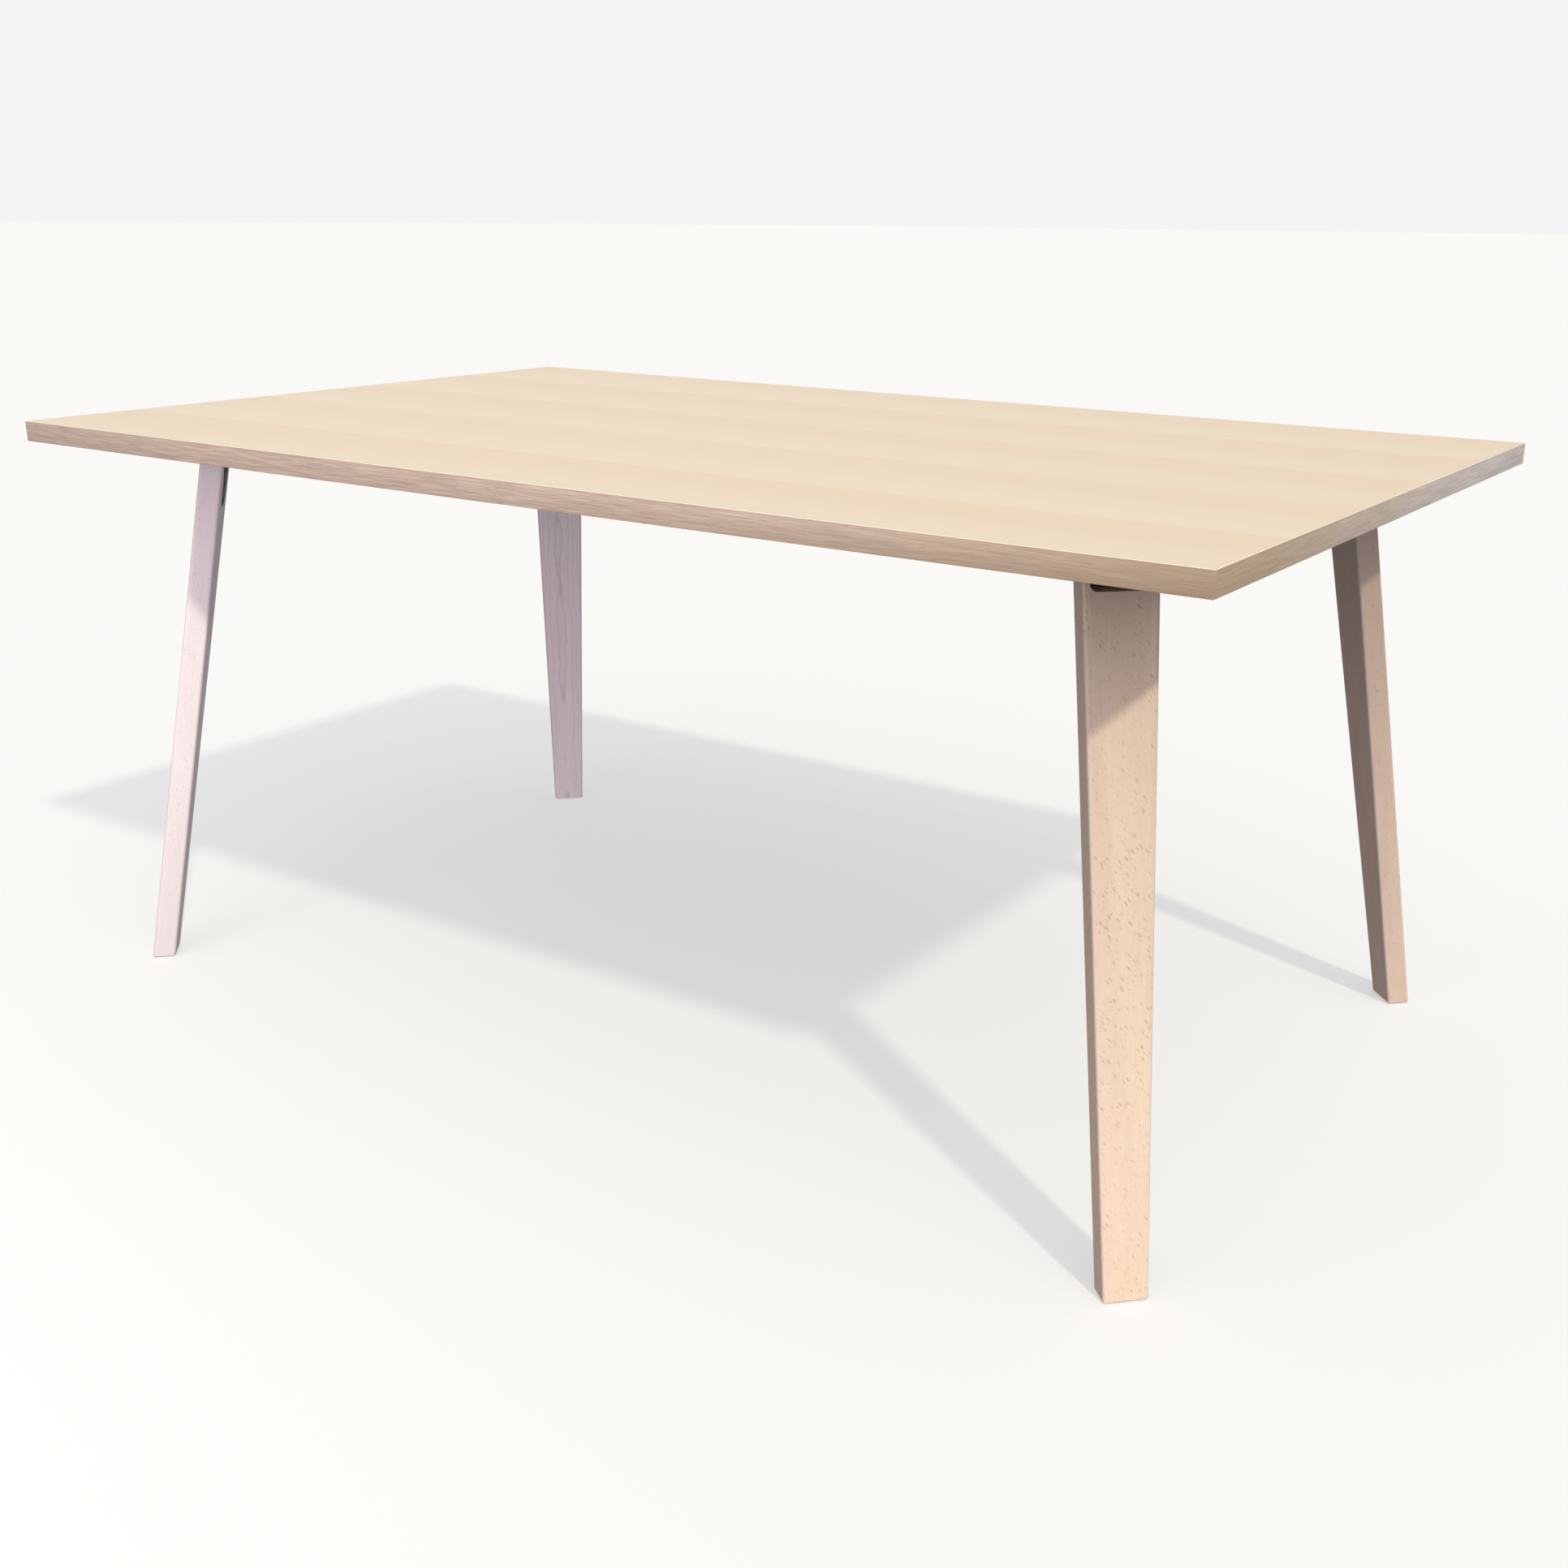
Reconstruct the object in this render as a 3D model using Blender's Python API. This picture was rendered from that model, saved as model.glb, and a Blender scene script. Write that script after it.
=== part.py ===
"""Communion table: a veneered rectangular top on four tapered, splayed beech legs.

The frame has its origin on the floor under the middle of the top. +X runs along the
length, +Y across the width and +Z up. All sizes are in metres.

Each leg stands at a corner with its broad faces square to the table's diagonal, and
leans outwards along that diagonal. A steel bracket at each corner carries the leg: its
flange passes through the notch in the leg's head and is screwed to the underside, and
its arm is let in flush with the leg's inner face and bolted to inserts in the leg.

Everything at a corner is modelled in that corner's own frame: its origin is the middle
of the leg's head at the underside of the top, +X points outwards along the diagonal and
+Z up.
"""

from math import atan2, cos, pi, radians, sin, sqrt, tan

import bmesh
import bpy
from mathutils import Matrix, Vector

# Overall sizes
TABLE_LENGTH = 1.610
TABLE_WIDTH = 0.975
TABLE_HEIGHT = 0.740

# Top
TOP_THICKNESS = 0.025
VENEER_THICKNESS = 0.0006
BAND_THICKNESS = 0.001

# Legs
LEG_HEAD_INSET = 0.164
LEG_FOOT_INSET = 0.064
LEG_HEAD_WIDTH = 0.078
LEG_FOOT_WIDTH = 0.047
LEG_THICKNESS = 0.030
LEG_EDGE_RADIUS = 0.004
LEG_EDGE_STEPS = 4

# Notch through each leg's head
NOTCH_SIDE_WALL = 0.008
NOTCH_DEPTH = 0.0365
NOTCH_CORNER_RADIUS = 0.008

# Brackets
PLATE_THICKNESS = 0.004
FLANGE_SIDE_PLAY = 0.003
FLANGE_OUTER_REACH = 0.043
FLANGE_INNER_REACH = 0.105
FLANGE_CORNER_RADIUS = 0.008
ARM_NECK_WIDTH = 0.052
ARM_NECK_BELOW_NOTCH = 0.002
ARM_SHOULDER_BELOW_NOTCH = 0.018
ARM_SHOULDER_RADIUS = 0.012
ARM_WIDTH = 0.036
ARM_BELOW_NOTCH = 0.0525

# Wood screws, from each flange up into the top
WOOD_SCREW_LENGTH = 0.018
WOOD_SCREW_RADIUS = 0.002
WOOD_SCREW_HEAD_RADIUS = 0.0040
WOOD_SCREW_HEAD_HEIGHT = 0.0024
WOOD_SCREW_POINT = 0.004
WOOD_SCREW_EDGE = 0.010
CROSS_SPAN = 0.0042
CROSS_SLOT = 0.0012
CROSS_DEPTH = 0.0015

# Bolts, from each arm into the threaded inserts
BOLT_LENGTH = 0.016
BOLT_RADIUS = 0.003
BOLT_HEAD_RADIUS = 0.0058
BOLT_HEAD_HEIGHT = 0.0032
BOLT_BELOW_NOTCH = 0.013
BOLT_SPACING = 0.022
HEX_RADIUS = 0.0023
HEX_DEPTH = 0.002

# Threaded inserts
INSERT_RADIUS = 0.0046
INSERT_LENGTH = 0.013
INSERT_END_WALL = 0.0006

# Foot glides
GLIDE_RADIUS = 0.010
GLIDE_THICKNESS = 0.004
GLIDE_STAND_OFF = 0.0015
GLIDE_EDGE = 0.0006
SPIGOT_RADIUS = 0.004
SPIGOT_LENGTH = 0.012

# Clearance between pieces that touch
GAP = 0.0003

# Facets, and the largest angle between two that are shaded as one surface
ARC_STEPS = 8
ROUND_SIDES = 16
GLIDE_SIDES = 24
SMOOTH_ANGLE = radians(35)

# Derived sizes
UNDERSIDE = TABLE_HEIGHT - TOP_THICKNESS
SPLAY = (LEG_HEAD_INSET - LEG_FOOT_INSET) * sqrt(2)
LEAN = atan2(SPLAY, UNDERSIDE)
LEG_FOOT_LEVEL = GLIDE_STAND_OFF - UNDERSIDE
NOTCH_WIDTH = LEG_HEAD_WIDTH - 2 * NOTCH_SIDE_WALL
FLANGE_WIDTH = NOTCH_WIDTH - 2 * FLANGE_SIDE_PLAY
FLANGE_OUTER_END = LEG_THICKNESS / 2 + FLANGE_OUTER_REACH
FLANGE_INNER_END = -LEG_THICKNESS / 2 - FLANGE_INNER_REACH
FLANGE_FACE = -GAP - PLATE_THICKNESS
CORE_LENGTH = TABLE_LENGTH - 2 * (BAND_THICKNESS + GAP)
CORE_WIDTH = TABLE_WIDTH - 2 * (BAND_THICKNESS + GAP)

# Corner name, signs of its X and Y
CORNERS = {
    "front_right": (1, -1),
    "back_right": (1, 1),
    "back_left": (-1, 1),
    "front_left": (-1, -1),
}


# --- scene, materials and objects ---------------------------------------------------


def clear_scene():
    for item in list(bpy.data.objects):
        bpy.data.objects.remove(item, do_unlink=True)


def material(name, colour, roughness, metallic=0.0):
    """A Principled material of one colour."""
    made = bpy.data.materials.new(name)
    made.use_nodes = True
    shader = made.node_tree.nodes["Principled BSDF"]
    shader.inputs["Base Color"].default_value = (*colour, 1.0)
    shader.inputs["Roughness"].default_value = roughness
    shader.inputs["Metallic"].default_value = metallic
    made.diffuse_color = (*colour, 1.0)
    return made


def add_object(name, mesh, parent=None, look=None, place=Matrix.Identity(4)):
    """Link an object of this mesh, at a place in its parent's frame if it has one."""
    made = bpy.data.objects.new(name, mesh)
    bpy.context.scene.collection.objects.link(made)
    made.parent = parent
    made.matrix_local = place
    if look is not None and not mesh.materials:
        mesh.materials.append(look)
    return made


def shade(mesh):
    """Shade round surfaces smooth and keep real edges sharp."""
    mesh.shade_smooth()
    mesh.set_sharp_from_angle(angle=SMOOTH_ANGLE)
    return mesh


def mesh_from(bm, name):
    """Turn a bmesh into a mesh whose faces point out."""
    bmesh.ops.recalc_face_normals(bm, faces=bm.faces)
    mesh = bpy.data.meshes.new(name)
    bm.to_mesh(mesh)
    bm.free()
    return shade(mesh)


# --- outlines and solids ------------------------------------------------------------


def rounded(corners):
    """Outline through (x, y, radius) corners, each rounded by its own radius."""
    outline = []
    count = len(corners)
    for index, (x, y, radius) in enumerate(corners):
        here = Vector((x, y))
        if radius == 0:
            outline.append(here)
            continue
        before = (Vector(corners[index - 1][:2]) - here).normalized()
        after = (Vector(corners[(index + 1) % count][:2]) - here).normalized()
        half = before.angle(after) / 2
        centre = here + (before + after).normalized() * radius / sin(half)
        start = here + before * radius / tan(half) - centre
        end = here + after * radius / tan(half) - centre
        turn = start.angle_signed(end)
        for step in range(ARC_STEPS + 1):
            spoke = start.copy()
            spoke.rotate(Matrix.Rotation(-turn * step / ARC_STEPS, 2))
            outline.append(centre + spoke)
    kept = [p for i, p in enumerate(outline) if (p - outline[i - 1]).length > 1e-6]
    return [tuple(point) for point in kept]


def prism(name, outline, low, high, place=Matrix.Identity(4)):
    """Mesh of an outline in XY, extruded along Z from low to high, then placed."""
    bm = bmesh.new()
    base = bm.faces.new([bm.verts.new((x, y, low)) for x, y in outline])
    side = bmesh.ops.extrude_face_region(bm, geom=[base])["geom"]
    moved = [item for item in side if isinstance(item, bmesh.types.BMVert)]
    bmesh.ops.translate(bm, verts=moved, vec=(0, 0, high - low))
    bmesh.ops.transform(bm, verts=bm.verts, matrix=place)
    return mesh_from(bm, name)


def block(name, size, centre):
    """Mesh of a rectangular block."""
    bm = bmesh.new()
    bmesh.ops.create_cube(bm, size=1)
    bmesh.ops.scale(bm, verts=bm.verts, vec=size)
    bmesh.ops.translate(bm, verts=bm.verts, vec=centre)
    return mesh_from(bm, name)


def turned(name, profile, sides, place=Matrix.Identity(4)):
    """Mesh of an (r, z) profile spun about Z, then placed."""
    bm = bmesh.new()
    points = [bm.verts.new((r, 0, z)) for r, z in profile]
    lines = [bm.edges.new(pair) for pair in zip(points, points[1:])]
    bmesh.ops.spin(
        bm, geom=points + lines, cent=(0, 0, 0), axis=(0, 0, 1), angle=2 * pi, steps=sides, use_merge=True
    )
    bmesh.ops.remove_doubles(bm, verts=bm.verts, dist=1e-6)
    bmesh.ops.transform(bm, verts=bm.verts, matrix=place)
    return mesh_from(bm, name)


def repeated(name, mesh, places):
    """One mesh of copies at every place, for cutting several holes at once."""
    bm = bmesh.new()
    for place in places:
        before = len(bm.verts)
        bm.from_mesh(mesh)
        bm.verts.ensure_lookup_table()
        bmesh.ops.transform(bm, verts=bm.verts[before:], matrix=place)
    return mesh_from(bm, name)


def combine(target, mesh, operation, parent=None):
    """Cut a mesh from an object, or fuse it on, with a hidden cutter object."""
    tool = add_object(target.name + "_" + mesh.name, mesh, parent)
    tool.hide_render = True
    tool.display_type = "WIRE"
    modifier = target.modifiers.new(mesh.name, "BOOLEAN")
    modifier.operation = operation
    modifier.solver = "EXACT"
    modifier.object = tool
    return tool


def baked(name, mesh, cuts, fused=()):
    """Fuse and cut a mesh, and give back the result as a plain mesh."""
    holder = add_object(name + "_blank", mesh)
    tools = [combine(holder, piece, "UNION") for piece in fused]
    tools += [combine(holder, piece, "DIFFERENCE") for piece in cuts]
    bpy.context.view_layer.update()
    graph = bpy.context.evaluated_depsgraph_get()
    result = bpy.data.meshes.new_from_object(holder.evaluated_get(graph))
    result.name = name
    for item in [holder, *tools]:
        bpy.data.objects.remove(item, do_unlink=True)
    return shade(result)


# --- places in a corner's frame -----------------------------------------------------


def leaning_place():
    """Frame on the leg's inner face at the underside: +X across the leg, +Y up the
    slope of the face, +Z out of the leg towards the middle of the table."""
    across = Vector((0, -1, 0))
    up_slope = Vector((-sin(LEAN), 0, cos(LEAN)))
    turn = Matrix((across, up_slope, across.cross(up_slope))).transposed()
    return Matrix.Translation((-LEG_THICKNESS / 2, 0, 0)) @ turn.to_4x4()


def slope(depth):
    """Distance down the leg's slope for a vertical depth below the underside."""
    return depth / cos(LEAN)


def wood_screw_spots():
    """Where the wood screws pass through a flange: an outer pair, an inner pair and
    one near the flange's inner end."""
    side = FLANGE_WIDTH / 2 - WOOD_SCREW_EDGE
    outer = FLANGE_OUTER_END - WOOD_SCREW_EDGE - FLANGE_CORNER_RADIUS / 2
    tip = FLANGE_INNER_END + WOOD_SCREW_EDGE
    pair = (tip - LEG_THICKNESS / 2) / 2
    return [(outer, side), (outer, -side), (pair, side), (pair, -side), (tip, 0)]


def wood_screw_places():
    return [Matrix.Translation((x, y, FLANGE_FACE)) for x, y in wood_screw_spots()]


def bolt_places():
    """Places on the arm's face, one below the other. +Z points out of the face."""
    upper = -slope(NOTCH_DEPTH + BOLT_BELOW_NOTCH)
    return [leaning_place() @ Matrix.Translation((0, y, 0)) for y in (upper, upper - BOLT_SPACING)]


# --- fasteners, in their own frames --------------------------------------------------


def wood_screw_mesh():
    """Countersunk wood screw with a cross recess, pointing up from its head at zero."""
    profile = [
        (0, 0),
        (WOOD_SCREW_HEAD_RADIUS, 0),
        (WOOD_SCREW_RADIUS, WOOD_SCREW_HEAD_HEIGHT),
        (WOOD_SCREW_RADIUS, WOOD_SCREW_LENGTH - WOOD_SCREW_POINT),
        (0, WOOD_SCREW_LENGTH),
    ]
    blank = turned("wood_screw", profile, ROUND_SIDES)
    arm = CROSS_SPAN / 2
    slot = CROSS_SLOT / 2
    cross = [
        (arm, slot), (slot, slot), (slot, arm), (-slot, arm), (-slot, slot), (-arm, slot),
        (-arm, -slot), (-slot, -slot), (-slot, -arm), (slot, -arm), (slot, -slot), (arm, -slot),
    ]
    recess = prism("cross_recess", cross, -CROSS_DEPTH, CROSS_DEPTH)
    return baked("wood_screw", blank, [recess])


def bolt_mesh():
    """Countersunk bolt with a hexagon socket, its head at zero and its shank along -Z."""
    profile = [
        (0, 0),
        (BOLT_HEAD_RADIUS, 0),
        (BOLT_RADIUS, -BOLT_HEAD_HEIGHT),
        (BOLT_RADIUS, -BOLT_LENGTH),
        (0, -BOLT_LENGTH),
    ]
    blank = turned("bolt", profile, ROUND_SIDES)
    socket_profile = [(0, -HEX_DEPTH), (HEX_RADIUS, -HEX_DEPTH), (HEX_RADIUS, HEX_DEPTH), (0, HEX_DEPTH)]
    return baked("bolt", blank, [turned("hex_socket", socket_profile, 6)])


def insert_mesh():
    """Threaded insert behind a bolt's hole: a sleeve with a closed inner end."""
    front = -PLATE_THICKNESS - 2 * GAP
    back = front - INSERT_LENGTH
    bore = BOLT_RADIUS + GAP
    bore_end = back + INSERT_END_WALL
    profile = [
        (0, back),
        (INSERT_RADIUS, back),
        (INSERT_RADIUS, front),
        (bore, front),
        (bore, bore_end),
        (0, bore_end),
    ]
    return turned("insert", profile, ROUND_SIDES)


def screw_hole_mesh(head_radius, head_height, shank_radius, direction):
    """Countersunk hole through a plate, for a head that lies flush with its face."""
    flare = (head_radius - shank_radius) / head_height
    over = GAP * 4
    profile = [
        (0, -over),
        (head_radius + GAP + flare * over, -over),
        (shank_radius + GAP, head_height + GAP / flare),
        (shank_radius + GAP, PLATE_THICKNESS + over),
        (0, PLATE_THICKNESS + over),
    ]
    return turned("screw_hole", [(r, direction * z) for r, z in profile], ROUND_SIDES)


# --- pieces at each corner ----------------------------------------------------------


def arm_outline(margin, top):
    """The arm's outline on the leg's inner face: a wide neck across the notch that
    narrows to a tongue with a round lower end."""
    neck = ARM_NECK_WIDTH / 2 + margin
    half = ARM_WIDTH / 2 + margin
    neck_end = -slope(NOTCH_DEPTH + ARM_NECK_BELOW_NOTCH)
    shoulder = -slope(NOTCH_DEPTH + ARM_SHOULDER_BELOW_NOTCH)
    end = -slope(NOTCH_DEPTH + ARM_BELOW_NOTCH) - margin
    side = [
        (neck, top, 0),
        (neck, neck_end, ARM_SHOULDER_RADIUS),
        (half, shoulder, ARM_SHOULDER_RADIUS),
        (half, end, half),
    ]
    other_side = [(-x, y, radius) for x, y, radius in reversed(side)]
    return rounded(side + other_side)


def notch_cutter():
    """The notch through the leg's head, open at the top."""
    half = NOTCH_WIDTH / 2
    over = 0.002
    outline = rounded(
        [
            (half, over, 0),
            (half, -NOTCH_DEPTH, NOTCH_CORNER_RADIUS),
            (-half, -NOTCH_DEPTH, NOTCH_CORNER_RADIUS),
            (-half, over, 0),
        ]
    )
    through = Matrix(((0, 0, 1, 0), (1, 0, 0, 0), (0, 1, 0, 0), (0, 0, 0, 1)))
    return prism("notch", outline, -LEG_THICKNESS, LEG_THICKNESS + SPLAY, through)


def arm_recess_cutter():
    """The recess that lets the bracket's arm into the leg's inner face."""
    outline = arm_outline(GAP, PLATE_THICKNESS)
    return prism("arm_recess", outline, -PLATE_THICKNESS - GAP, LEG_THICKNESS, leaning_place())


def insert_bores_cutter():
    """The blind bores for the threaded inserts, from the floor of the arm's recess."""
    radius = INSERT_RADIUS + GAP
    front = -PLATE_THICKNESS / 2
    end = -PLATE_THICKNESS - INSERT_LENGTH - 3 * GAP
    bore = turned("bore", [(0, end), (radius, end), (radius, front), (0, front)], ROUND_SIDES)
    return repeated("insert_bores", bore, bolt_places())


def glide_bore_cutter():
    """The counterbore and the spigot's hole in the leg's foot."""
    seat = -UNDERSIDE + GLIDE_THICKNESS + GAP
    end = -UNDERSIDE + GLIDE_THICKNESS + SPIGOT_LENGTH + GAP
    below = -UNDERSIDE - GLIDE_THICKNESS
    profile = [
        (0, below),
        (GLIDE_RADIUS + GAP, below),
        (GLIDE_RADIUS + GAP, seat),
        (SPIGOT_RADIUS + GAP, seat),
        (SPIGOT_RADIUS + GAP, end),
        (0, end),
    ]
    return turned("glide_bore", profile, GLIDE_SIDES, Matrix.Translation((SPLAY, 0, 0)))


def leg_mesh():
    """Tapered leg whose ends are cut parallel to the floor, with rounded long edges."""
    bm = bmesh.new()
    rings = []
    for level in (LEG_FOOT_LEVEL, -GAP):
        drop = -level / UNDERSIDE
        middle = SPLAY * drop
        width = LEG_HEAD_WIDTH + (LEG_FOOT_WIDTH - LEG_HEAD_WIDTH) * drop
        rings.append(
            [
                bm.verts.new((middle + x * LEG_THICKNESS / 2, y * width / 2, level))
                for x, y in ((-1, -1), (1, -1), (1, 1), (-1, 1))
            ]
        )
    foot, head = rings
    bm.faces.new(foot)
    bm.faces.new(head)
    long_edges = []
    for index in range(4):
        after = (index + 1) % 4
        bm.faces.new((foot[index], foot[after], head[after], head[index]))
        long_edges.append(bm.edges.get((foot[index], head[index])))
    bmesh.ops.bevel(
        bm, geom=long_edges, offset=LEG_EDGE_RADIUS, segments=LEG_EDGE_STEPS, profile=0.5, affect="EDGES"
    )
    blank = mesh_from(bm, "leg")
    cuts = [notch_cutter(), arm_recess_cutter(), insert_bores_cutter(), glide_bore_cutter()]
    return baked("leg", blank, cuts)


def bracket_mesh():
    """Steel bracket: a flange under the top with the arm welded to it."""
    half = FLANGE_WIDTH / 2
    outline = rounded(
        [
            (FLANGE_OUTER_END, half, FLANGE_CORNER_RADIUS),
            (FLANGE_INNER_END, half, half),
            (FLANGE_INNER_END, -half, half),
            (FLANGE_OUTER_END, -half, FLANGE_CORNER_RADIUS),
        ]
    )
    flange = prism("flange", outline, FLANGE_FACE, -GAP)
    arm = prism("arm", arm_outline(0, -PLATE_THICKNESS / 2), -PLATE_THICKNESS, 0, leaning_place())
    wood_hole = screw_hole_mesh(WOOD_SCREW_HEAD_RADIUS, WOOD_SCREW_HEAD_HEIGHT, WOOD_SCREW_RADIUS, 1)
    bolt_hole = screw_hole_mesh(BOLT_HEAD_RADIUS, BOLT_HEAD_HEIGHT, BOLT_RADIUS, -1)
    cuts = [
        repeated("wood_screw_holes", wood_hole, wood_screw_places()),
        repeated("bolt_holes", bolt_hole, bolt_places()),
    ]
    return baked("bracket", flange, cuts, fused=[arm])


def glide_mesh():
    """Nylon glide with a spigot up into the foot and an eased lower edge."""
    floor = -UNDERSIDE
    top = floor + GLIDE_THICKNESS
    profile = [
        (0, floor),
        (GLIDE_RADIUS - GLIDE_EDGE, floor),
        (GLIDE_RADIUS, floor + GLIDE_EDGE),
        (GLIDE_RADIUS, top),
        (SPIGOT_RADIUS, top),
        (SPIGOT_RADIUS, top + SPIGOT_LENGTH - GAP),
        (0, top + SPIGOT_LENGTH - GAP),
    ]
    return turned("glide", profile, GLIDE_SIDES, Matrix.Translation((SPLAY, 0, 0)))


def pilot_holes_cutter():
    """The wood screws' holes, up through the lower veneer into the core."""
    radius = WOOD_SCREW_RADIUS + GAP
    start = PLATE_THICKNESS
    end = WOOD_SCREW_LENGTH + GAP
    hole = turned("pilot", [(0, start), (radius, start), (radius, end), (0, end)], ROUND_SIDES)
    return repeated("pilot_holes", hole, wood_screw_places())


# --- assembly -----------------------------------------------------------------------


def corner_frame(name, sign_x, sign_y):
    """An empty at the middle of a leg's head, turned to point outwards."""
    frame = add_object("corner_" + name, None)
    x = TABLE_LENGTH / 2 - LEG_HEAD_INSET
    y = TABLE_WIDTH / 2 - LEG_HEAD_INSET
    frame.location = (sign_x * x, sign_y * y, UNDERSIDE)
    frame.rotation_euler = (0, 0, atan2(sign_y, sign_x))
    return frame


def build_top(looks, frames):
    """Core, two veneers and four edge bands."""
    middle = TABLE_HEIGHT - TOP_THICKNESS / 2
    core_height = TOP_THICKNESS - 2 * (VENEER_THICKNESS + GAP)
    core_mesh = block("top_core", (CORE_LENGTH, CORE_WIDTH, core_height), (0, 0, middle))
    core = add_object("top_core", core_mesh, look=looks["core"])

    sheet = (CORE_LENGTH, CORE_WIDTH, VENEER_THICKNESS)
    upper_level = TABLE_HEIGHT - VENEER_THICKNESS / 2
    lower_level = UNDERSIDE + VENEER_THICKNESS / 2
    upper = block("top_veneer", sheet, (0, 0, upper_level))
    lower = block("underside_veneer", sheet, (0, 0, lower_level))
    add_object("top_veneer", upper, look=looks["veneer"])
    lower_veneer = add_object("underside_veneer", lower, look=looks["backing"])

    for frame in frames.values():
        for board in (core, lower_veneer):
            combine(board, pilot_holes_cutter(), "DIFFERENCE", frame)

    long_size = (TABLE_LENGTH, BAND_THICKNESS, TOP_THICKNESS)
    short_size = (BAND_THICKNESS, CORE_WIDTH, TOP_THICKNESS)
    long_y = (TABLE_WIDTH - BAND_THICKNESS) / 2
    short_x = (TABLE_LENGTH - BAND_THICKNESS) / 2
    bands = {
        "edge_band_front": (long_size, (0, -long_y, middle)),
        "edge_band_back": (long_size, (0, long_y, middle)),
        "edge_band_left": (short_size, (-short_x, 0, middle)),
        "edge_band_right": (short_size, (short_x, 0, middle)),
    }
    for name, (size, centre) in bands.items():
        add_object(name, block(name, size, centre), look=looks["band"])


def build_corners(looks, frames):
    """Leg, bracket and glide at each corner, and their fasteners, from shared meshes."""
    singles = [
        ("leg", leg_mesh(), "leg"),
        ("bracket", bracket_mesh(), "steel"),
        ("foot_glide", glide_mesh(), "nylon"),
    ]
    fasteners = [
        ("wood_screw", wood_screw_mesh(), "screw", wood_screw_places()),
        ("leg_bolt", bolt_mesh(), "bolt", bolt_places()),
        ("leg_insert", insert_mesh(), "insert", bolt_places()),
    ]
    for corner, frame in frames.items():
        for piece, mesh, look in singles:
            add_object(f"{piece}_{corner}", mesh, frame, looks[look])
        for piece, mesh, look, places in fasteners:
            for number, place in enumerate(places, start=1):
                add_object(f"{piece}_{corner}_{number}", mesh, frame, looks[look], place)


def main():
    clear_scene()
    looks = {
        "veneer": material("top_veneer", (0.78, 0.62, 0.44), 0.45),
        "backing": material("underside_veneer", (0.66, 0.50, 0.34), 0.55),
        "band": material("edge_band", (0.58, 0.43, 0.31), 0.5),
        "core": material("particleboard", (0.50, 0.37, 0.23), 0.9),
        "leg": material("beech_leg", (0.72, 0.50, 0.35), 0.5),
        "steel": material("black_steel", (0.012, 0.011, 0.012), 0.45, 0.3),
        "screw": material("zinc_screw", (0.62, 0.60, 0.55), 0.3, 1.0),
        "bolt": material("black_bolt", (0.02, 0.02, 0.02), 0.35, 1.0),
        "insert": material("zinc_insert", (0.58, 0.56, 0.52), 0.35, 1.0),
        "nylon": material("nylon_glide", (0.10, 0.085, 0.07), 0.4),
    }
    frames = {name: corner_frame(name, *signs) for name, signs in CORNERS.items()}
    build_corners(looks, frames)
    build_top(looks, frames)


main()
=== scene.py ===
"""Looks of the communion table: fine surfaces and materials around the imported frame.

Everything is in metres and in the frame's own axes: +X along the table, +Y across it and
+Z up, with the origin on the floor under the middle of the top. What belongs to a corner
is made in that corner's frame: its origin is the middle of the leg's head at the underside
of the top, +X points outwards along the table's diagonal and +Z up.
"""

from math import atan2, cos, hypot, pi, radians, sin, tan

import bmesh
import bpy
from mathutils import Matrix, Vector


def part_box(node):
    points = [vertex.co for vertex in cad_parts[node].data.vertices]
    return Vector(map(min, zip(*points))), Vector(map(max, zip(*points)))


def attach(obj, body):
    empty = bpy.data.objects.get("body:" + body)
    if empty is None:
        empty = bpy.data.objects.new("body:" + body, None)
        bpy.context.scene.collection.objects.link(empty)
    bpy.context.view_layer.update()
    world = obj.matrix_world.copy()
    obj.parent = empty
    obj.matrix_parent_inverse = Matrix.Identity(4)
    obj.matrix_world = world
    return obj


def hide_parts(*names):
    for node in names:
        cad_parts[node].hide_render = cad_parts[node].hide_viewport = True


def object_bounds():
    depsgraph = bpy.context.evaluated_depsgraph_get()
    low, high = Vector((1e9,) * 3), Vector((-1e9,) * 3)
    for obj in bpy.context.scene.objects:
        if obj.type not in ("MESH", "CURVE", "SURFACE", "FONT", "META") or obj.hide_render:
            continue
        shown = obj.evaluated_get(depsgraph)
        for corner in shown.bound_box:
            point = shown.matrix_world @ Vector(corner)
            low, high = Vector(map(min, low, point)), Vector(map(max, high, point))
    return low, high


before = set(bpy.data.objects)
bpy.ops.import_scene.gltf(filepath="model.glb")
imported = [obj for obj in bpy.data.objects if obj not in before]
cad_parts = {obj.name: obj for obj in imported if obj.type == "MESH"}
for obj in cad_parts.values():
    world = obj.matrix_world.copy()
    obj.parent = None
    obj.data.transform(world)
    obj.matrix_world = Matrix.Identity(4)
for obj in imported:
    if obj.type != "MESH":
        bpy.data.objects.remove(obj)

# Sizes read from the frame
CAD_LOW, CAD_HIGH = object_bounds()
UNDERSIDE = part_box("underside_veneer")[0].z
CORE_LOW, CORE_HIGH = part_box("top_core")
BAND_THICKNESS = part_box("edge_band_right")[1].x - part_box("edge_band_right")[0].x
FLANGE_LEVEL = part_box("wood_screw_front_right_1")[0].z - UNDERSIDE
FOOT_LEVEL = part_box("leg_front_right")[0].z - UNDERSIDE
FLOOR_LEVEL = -UNDERSIDE

# Legs
LEG_SPREAD = 0.100
LEG_HEAD_WIDTH = 0.078
LEG_FOOT_WIDTH = 0.047
LEG_THICKNESS = 0.030
LEG_EDGE_RADIUS = 0.004
LEG_END_EASE = 0.0008
NOTCH_WIDTH = 0.062
NOTCH_DEPTH = 0.0365
NOTCH_CORNER_RADIUS = 0.008
NOTCH_RIM_EASE = 0.0007

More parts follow.
